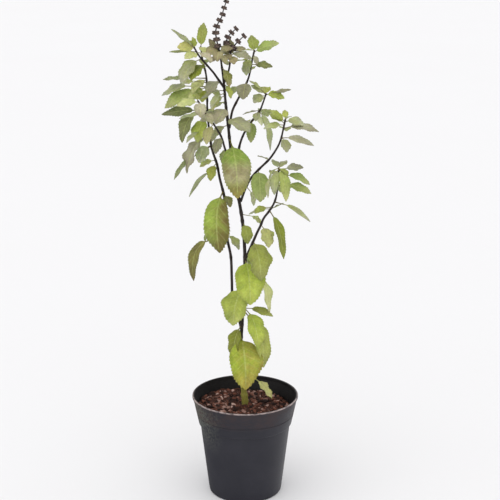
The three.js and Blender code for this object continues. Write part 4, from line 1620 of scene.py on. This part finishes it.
@dataclass(frozen=True)
class Studio:
    """A pale floor, plain soft light and the camera."""

    lens: float = 87.02
    sensor: float = 36.0
    floor_half: float = 14.0
    camera_place: tuple[float, float, float] = (5.91, -1388.8, 690.8)
    camera_dip: float = 15.368
    sky: tuple[float, float, float, float] = (0.955, 0.955, 0.96, 1.0)
    key_strength: float = 0.75
    key_spread: float = 90.0
    key_way: tuple[float, float] = (42.0, -14.0)

    def build(self) -> None:
        """Sets up the floor, the light and the camera."""
        mesh = bpy.data.meshes.new("studio_floor")
        half = self.floor_half
        corners = [(-half, -half, 0), (half, -half, 0), (half, half, 0), (-half, half, 0)]
        mesh.from_pydata(corners, [], [(0, 1, 2, 3)])
        mesh.materials.append(FloorFinish().material())
        floor = linked("studio_floor", mesh)

        world = bpy.data.worlds.new("studio_sky")
        world.use_nodes = True
        backdrop = world.node_tree.nodes["Background"]
        backdrop.inputs["Color"].default_value = self.sky
        backdrop.inputs["Strength"].default_value = 1.0
        scene = bpy.context.scene
        scene.world = world
        scene.view_settings.view_transform = "Standard"

        lamp = bpy.data.lights.new("key_light", "SUN")
        lamp.energy = self.key_strength
        lamp.angle = math.radians(self.key_spread)
        key = linked("key_light", lamp)
        key.rotation_euler = (math.radians(self.key_way[0]), 0.0, math.radians(self.key_way[1]))

        lens = bpy.data.cameras.new("camera")
        lens.lens, lens.sensor_width = self.lens, self.sensor
        lens.clip_start, lens.clip_end = 0.05, 50.0
        camera = linked("camera", lens)
        camera.location = Vector(self.camera_place) * MM
        camera.rotation_euler = (math.radians(90 - self.camera_dip), 0.0, 0.0)
        scene.camera = camera


# Every leaf colour is multiplied by this, so that the blades keep a warm green in soft light.
GAIN = np.array([1.0, 0.97, 0.74])

# Each leaf: height, azimuth, length, width, pitch, droop, roll, bare stalk and tone. Azimuth 0 is
# +X and 270 is the front.
SHOOTS = (
    Shoot("main_stem", (
        (1.2, 0, 62), (0.2, 0, 110), (-2.4, 0, 137), (-5, -1, 189), (-4, 0, 211), (-1, 2, 259),
        (0, 1, 293), (-2, 0, 335), (-7, -1, 370), (-14, 0, 406), (-17, 1, 434), (-20, 1, 465),
        (-22, 0, 483), (-24, 0, 506), (-27, -1, 532), (-30, -2, 549),
    ), (4.9, 4.8, 3.3, 2.3, 2.1, 2.2, 2.2, 2.1, 2, 1.9, 1.8, 1.7, 1.6, 1.4, 1.2, 1), 16, (
        (160, 338, 26, 20, -31, 22, 0, 27, Tone.STRAW),
        (200, 286, 61, 44, -30, 58, 0, 6, Tone.AGEING),
        (216, 222, 36, 23, -40, 45, 0, 8, Tone.MOSS),
        (234, 344, 56, 28, -41, 50, 25, 24, Tone.OLIVE),
        (238, 307, 44, 26, -15, 68, 0, 15, Tone.BRIGHT),
        (186, 100, 36, 22, 0, 75, 0, 10, Tone.OLIVE),
        (178, 60, 36, 24, -10, 70, 0, 10, Tone.OLIVE),
        (264, 236, 44, 38, -20, 62, 0, 9, Tone.LIME),
        (297, 286, 51, 39, -20, 66, 0, 7, Tone.BRIGHT),
        (289, 342, 46, 22, -30, 60, 10, 24, Tone.PALE),
        (262, 80, 40, 26, 5, 75, 0, 12, Tone.LIME),
        (284, 85, 36, 24, 5, 75, 0, 12, Tone.OLIVE),
        (343, 302, 23, 17, -25, 60, 0, 5, Tone.OLIVE),
        (353, 335, 14, 12, 5, 55, 0, 14, Tone.PALE),
        (300, 62, 36, 22, 5, 78, 0, 10, Tone.OLIVE),
        (236, 337, 28, 12, 9, 30, 30, 12, Tone.OLIVE),
        (443, 289, 61, 36, -28, 58, 0, 14, Tone.BRONZED),
        (406, 80, 40, 24, 0, 75, 0, 10, Tone.OLIVE),
        (469, 198, 30, 18, 25, 45, -35, 4, Tone.ROSE),
        (459, 206, 23, 16, -5, 55, -15, 6, Tone.MAUVE),
        (466, 318, 34, 24, 5, 32, 10, 4, Tone.MAUVE),
        (430, 100, 34, 20, 0, 70, 0, 10, Tone.OLIVE),
        (483, 118, 26, 15, 20, 55, 0, 7, Tone.OLIVE),
        (499, 200, 25, 15, 12, 45, 0, 6, Tone.MAUVE),
        (526, 312, 21, 14, -25, 55, 0, 5, Tone.BRONZE),
        (493, 222, 20, 12, 0, 60, 0, 6, Tone.PALE),
        (544, 205, 15, 13, 25, 50, -40, 3, Tone.CROWN),
        (544, 262, 17, 13, 10, 60, 0, 3, Tone.CROWN),
        (543, 160, 14, 11, 40, 40, -40, 3, Tone.CROWN),
        (544, 20, 14, 11, 40, 45, 40, 3, Tone.CROWN),
        (538, 150, 21, 12, 55, 5, -20, 4, Tone.CROWN),
        (507, 322, 16, 11, -25, 50, 0, 4, Tone.OLIVE),
        (540, 300, 14, 11, 5, 60, 0, 3, Tone.CROWN),
        (539, 225, 15, 12, 10, 50, 0, 3, Tone.CROWN),
        (478, 238, 24, 19, 0, 50, -10, 3, Tone.ROSE),
        (496, 243, 24, 10, 8, 55, 0, 14, Tone.SMOKE),
    ), (124, 137, 300, 372, 425)),
    Shoot("left_stem", (
        (-4, 2, 206), (-9, 4, 228), (-15, 6, 245), (-16, 7, 270), (-17, 8, 298), (-21, 9, 319),
        (-23, 10, 337), (-24, 11, 359), (-25, 12, 373), (-30, 13, 394), (-33, 14, 410),
        (-39, 15, 429), (-42, 16, 451), (-44, 17, 472), (-44, 18, 492), (-45, 19, 514),
        (-49, 20, 532), (-51, 21, 547),
    ), (1.8, 1.6, 1), 12, (
        (326, 331, 20, 16, -13, 50, 0, 5, Tone.SMOKE),
        (324, 184, 54, 16, 0, 96, -48, 27, Tone.UMBER),
        (378, 244, 70, 36, -28, 78, 0, 10, Tone.HALVED),
        (374, 310, 15, 13, -10, 60, 0, 4, Tone.BRONZE),
        (415, 190, 16, 12, 0, 35, -20, 5, Tone.PALE),
        (412, 238, 19, 15, -20, 60, 0, 6, Tone.OLIVE),
        (406, 186, 36, 7, -20, 42, 60, 14, Tone.TAUPE),
        (446, 210, 41, 34, -20, 60, 0, 16, Tone.TAUPE),
        (477, 196, 36, 21, -15, 68, -30, 19, Tone.DEEP),
        (432, 187, 31, 10, -25, 36, 50, 30, Tone.DEEP),
        (466, 236, 28, 22, -10, 70, 0, 9, Tone.LIME),
        (473, 183, 37, 17, 6, 18, -35, 17, Tone.DEEP),
        (493, 181, 39, 21, 12, 52, -40, 16, Tone.GREEN),
        (501, 178, 31, 16, 8, 40, -30, 25, Tone.SMOKE),
        (511, 182, 25, 12, 2, 8, 28, 26, Tone.TAUPE),
        (498, 250, 17, 14, 0, 60, 0, 5, Tone.LIME),
        (499, 318, 21, 15, 5, 55, 0, 5, Tone.SMOKE),
        (360, 115, 40, 22, 10, 70, 0, 10, Tone.OLIVE),
        (342, 152, 36, 20, 5, 78, 0, 8, Tone.OLIVE),
        (440, 140, 32, 19, 10, 65, 0, 8, Tone.SMOKE),
        (487, 150, 30, 17, 15, 55, 0, 8, Tone.OLIVE),
        (509, 218, 22, 17, 5, 55, -10, 4, Tone.PALE),
        (433, 208, 22, 20, -15, 55, -20, 5, Tone.BLUISH),
        (472, 95, 34, 20, 15, 60, 0, 10, Tone.OLIVE),
        (520, 110, 26, 15, 25, 50, 0, 8, Tone.SMOKE),
        (547, 55, 25, 15, 77, 0, 0, 3, Tone.OLIVE),
        (546, 290, 15, 12, 20, 60, 0, 4, Tone.PALE),
        (500, 205, 22, 14, -2, 45, -30, 6, Tone.PALE),
        (506, 217, 15, 9, 14, 30, -30, 20, Tone.SMOKE),
        (450, 230, 22, 10, 10, 50, 0, 20, Tone.SMOKE),
    ), (245, 298)),
    Shoot("right_branch", (
        (-5, -2, 369), (0, -6, 384), (5, -9, 395), (11, -12, 404), (20, -16, 414), (29, -20, 424),
        (37, -24, 437), (41, -27, 447), (43, -29, 456), (46, -31, 471),
    ), (1.6, 1), 10, (
        (409, 280, 35, 23, -30, 58, 0, 4, Tone.GREEN),
        (388, 320, 17, 11, -30, 60, 0, 9, Tone.BLUISH),
        (422, 225, 17, 9, 34, 20, 0, 3, Tone.TAUPE),
        (468, 180, 18, 11, 50, 20, -40, 4, Tone.LIME),
        (468, 2, 20, 15, 22, 48, 30, 4, Tone.SMOKE),
        (464, 195, 20, 14, 15, 35, -25, 5, Tone.SMOKE),
        (460, 352, 33, 15, 25, 46, 30, 9, Tone.TAUPE),
        (449, 354, 31, 10, 8, 32, 50, 8, Tone.ROSE),
        (450, 305, 16, 14, -25, 50, 0, 4, Tone.SMOKE),
        (466, 150, 18, 13, 40, 20, -20, 4, Tone.OLIVE),
        (458, 80, 24, 14, 20, 50, 0, 7, Tone.OLIVE),
        (470, 90, 12, 8, 55, 20, 0, 3, Tone.OLIVE),
        (470, 300, 12, 8, 50, 40, 0, 3, Tone.SMOKE),
    )),
    Shoot("lower_right_branch", (
        (1, -2, 300), (9, -8, 320), (14, -12, 333), (18, -14, 342), (22, -16, 352),
        (28, -19, 361), (34, -22, 372), (37, -24, 384), (38, -26, 397), (39, -27, 414),
    ), (1.7, 1), 10, (
        (414, 290, 38, 14, 0, 84, 0, 8, Tone.GREEN),
        (411, 0, 19, 13, 20, 24, 30, 10, Tone.TAUPE),
        (403, 2, 27, 13, 19, 58, 30, 13, Tone.GREEN),
        (393, 352, 27, 13, 9, 38, 40, 14, Tone.GREEN),
        (373, 0, 34, 7, -10, 34, 60, 15, Tone.SMOKE),
        (413, 250, 28, 13, -10, 78, 0, 6, Tone.SMOKE),
        (414, 190, 14, 9, -10, 60, 0, 4, Tone.SMOKE),
        (413, 310, 15, 10, 20, 60, 0, 3, Tone.OLIVE),
        (322, 310, 45, 36, -38, 48, 0, 4, Tone.OLIVE),
        (364, 190, 21, 14, 10, 35, 0, 6, Tone.SMOKE),
        (364, 0, 13, 8, 25, 0, 0, 4, Tone.DEEP),
        (362, 342, 52, 17, -50, 34, 20, 9, Tone.MOSS),
        (343.5, 312, 24, 22, -25, 55, 0, 6, Tone.PALE),
        (394, 80, 28, 18, 10, 60, 0, 8, Tone.OLIVE),
        (406, 100, 26, 15, 20, 50, 0, 8, Tone.OLIVE),
        (414, 115, 15, 10, 24, 0, 0, 3, Tone.SMOKE),
        (414, 65, 19, 11, 14, 0, 0, 3, Tone.SMOKE),
        (412, 214, 25, 9, -26, 70, 0, 13, Tone.SMOKE),
        (366, 222, 18, 10, 16, 40, -30, 10, Tone.OLIVE),
    )),
    Shoot("upper_right_branch", (
        (-10.5, 1.5, 388), (-8, 10, 410), (-7, 16, 429), (-2, 21, 444), (5, 26, 455),
        (12, 30, 464), (18, 33, 472), (21, 36, 479), (25, 39, 490),
    ), (1.6, 1), 10, (
        (489, 180, 17, 10, 45, 20, -40, 4, Tone.SMOKE),
        (489, 355, 20, 15, 15, 38, 30, 3, Tone.LIME),
        (489, 8, 18, 8, 14, 8, 30, 13, Tone.TAUPE),
        (488, 205, 15, 15, 3, 45, -25, 3, Tone.SMOKE),
        (470, 322, 45, 13, -27, 60, 0, 5, Tone.SMOKE),
        (460, 262, 24, 13, -15, 70, 0, 6, Tone.GREEN),
        (470, 250, 13, 10, -5, 50, 0, 4, Tone.SMOKE),
        (466, 300, 13, 9, -5, 60, 0, 4, Tone.BLUISH),
        (471, 180, 17, 8, 0, 20, 0, 4, Tone.TAUPE),
        (458, 120, 22, 14, 20, 60, 0, 5, Tone.OLIVE),
        (470, 70, 28, 16, 15, 55, 0, 9, Tone.OLIVE),
        (488, 95, 20, 15, 45, 40, 0, 4, Tone.OLIVE),
        (489, 175, 16, 9, 50, 20, -20, 10, Tone.SMOKE),
    ), (430,)),
    Shoot("top_right_branch", (
        (-18, 3, 455), (-15, 8, 473), (-10, 11, 484), (-5, 13, 493), (0, 15, 502), (4, 17, 511),
        (6, 18, 519), (8, 19, 530), (11, 20, 543),
    ), (1.5, 1), 10, (
        (507, 250, 20, 19, -15, 60, 0, 4, Tone.TAUPE),
        (536, 221, 19, 16, -27, 60, 0, 6, Tone.SMOKE),
        (527, 0, 20, 14, 0, 10, 30, 5, Tone.DEEP),
        (529, 165, 17, 11, 35, 50, 0, 4, Tone.OLIVE),
        (541, 348, 28, 16, 34, 20, 45, 4, Tone.GREEN),
        (541, 125, 17, 17, 80, 10, 0, 3, Tone.OLIVE),
        (543, 200, 12, 9, 15, 20, 0, 3, Tone.PALE),
        (500, 115, 26, 15, 15, 55, 0, 8, Tone.OLIVE),
        (520, 90, 24, 14, 25, 50, 0, 7, Tone.OLIVE),
        (538, 300, 11, 8, -20, 50, 0, 3, Tone.TAUPE),
    ), (483,)),
    Shoot("front_branch", (
        (-17, -2, 416), (-23, -9, 433), (-27, -15, 448), (-35, -21, 463), (-44, -26, 477),
        (-53, -30, 492),
    ), (1.4, 0.9), 10, (
        (476, 190, 26, 13, 5, 20, 30, 6, Tone.SMOKE),
        (464, 240, 22, 14, -15, 60, 0, 6, Tone.GOLD),
        (490, 190, 22, 15, 15, 35, -30, 4, Tone.PALE),
        (490, 280, 20, 15, 0, 60, 0, 5, Tone.ROSE),
        (491, 110, 14, 9, 40, 20, 0, 3, Tone.OLIVE),
        (478, 300, 16, 11, 0, 60, 0, 4, Tone.ROSE),
        (448, 245, 20, 13, -10, 60, 0, 4, Tone.TAUPE),
    )),
    Shoot("top_left_branch", (
        (-24, -1, 503), (-30, -4, 512), (-36, -7, 521), (-45, -11, 532), (-52, -14, 541),
        (-57, -16, 550),
    ), (1.5, 0.9), 10, (
        (531, 226, 24, 21, 0, 55, 0, 6, Tone.MOSS),
        (537, 203, 31, 21, -12, 52, -25, 7, Tone.SMOKE),
        (545, 182, 26, 8, 5, 8, 30, 5, Tone.MOSS),
        (549, 190, 18, 15, 18, 20, -45, 2, Tone.STRAW),
        (550, 178, 29, 10, 45, 10, 40, 4, Tone.TAUPE),
        (550, 150, 14, 11, 30, 20, -40, 3, Tone.LIME),
        (544, 320, 20, 15, 10, 50, 0, 5, Tone.ROSE),
        (534, 90, 20, 13, 15, 50, 0, 6, Tone.OLIVE),
        (511, 232, 20, 18, 5, 60, 0, 5, Tone.TAUPE),
        (543, 237, 22, 13, 12, 30, -30, 3, Tone.PALE),
        (548, 165, 11, 9, 84, 10, -30, 3, Tone.LIME),
    )),
    Shoot("crown_shoot", (
        (-24, 2, 507), (-19, 6, 520), (-17, 8, 531), (-16, 9, 545),
    ), (1.3, 1), 10, (
        (539, 350, 22, 14, 20, 45, 30, 4, Tone.TAUPE),
        (530, 100, 20, 12, 20, 50, 0, 4, Tone.CROWN),
        (540, 78, 14, 9, 20, 40, 0, 3, Tone.CROWN),
        (540, 250, 13, 11, 10, 50, 0, 3, Tone.CROWN),
        (538, 140, 14, 11, 40, 30, -20, 3, Tone.CROWN),
        (538, 95, 17, 13, 60, 0, 0, 3, Tone.CROWN),
        (537, 285, 15, 12, 15, 60, 0, 3, Tone.CROWN),
        (541, 32, 17, 10, 40, 42, 30, 4, Tone.CROWN),
    )),
)

SPIKES = (
    FlowerSpike("tall_flower_spike", (
        (-30, -2, 546), (-31, -2, 552), (-33, -1, 565), (-31, -1, 574), (-26, -1, 583),
        (-24, -1, 591), (-21, 0, 599),
    )),
    FlowerSpike("short_flower_spike", (
        (-16, 9, 543), (-12.5, 9, 548.5), (-10, 9, 552), (-6.5, 9, 555.5), (-1.5, 9, 560),
    )),
    FlowerSpike("right_flower_spike", (
        (-16, 9, 543), (-19.5, 8, 548), (-21, 6, 555), (-17.5, 6, 562), (-10.5, 6, 568.5),
    )),
)


def main() -> None:
    """Builds the pot, the soil, the plant and the studio, in that order."""
    logging.basicConfig(level=logging.INFO, format="%(name)s: %(message)s")
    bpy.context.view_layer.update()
    POT.build()
    Soil().build()
    leaf_finish, stem_finish = LeafFinish().material(), StemFinish().material()
    for shoot in SHOOTS:
        shoot.build(leaf_finish, stem_finish)
    StemHairs().build(SHOOTS)
    flower_finish = FlowerFinish().material()
    for spike in SPIKES:
        spike.build(flower_finish)
    Studio().build()


if __name__ == "__main__":
    main()
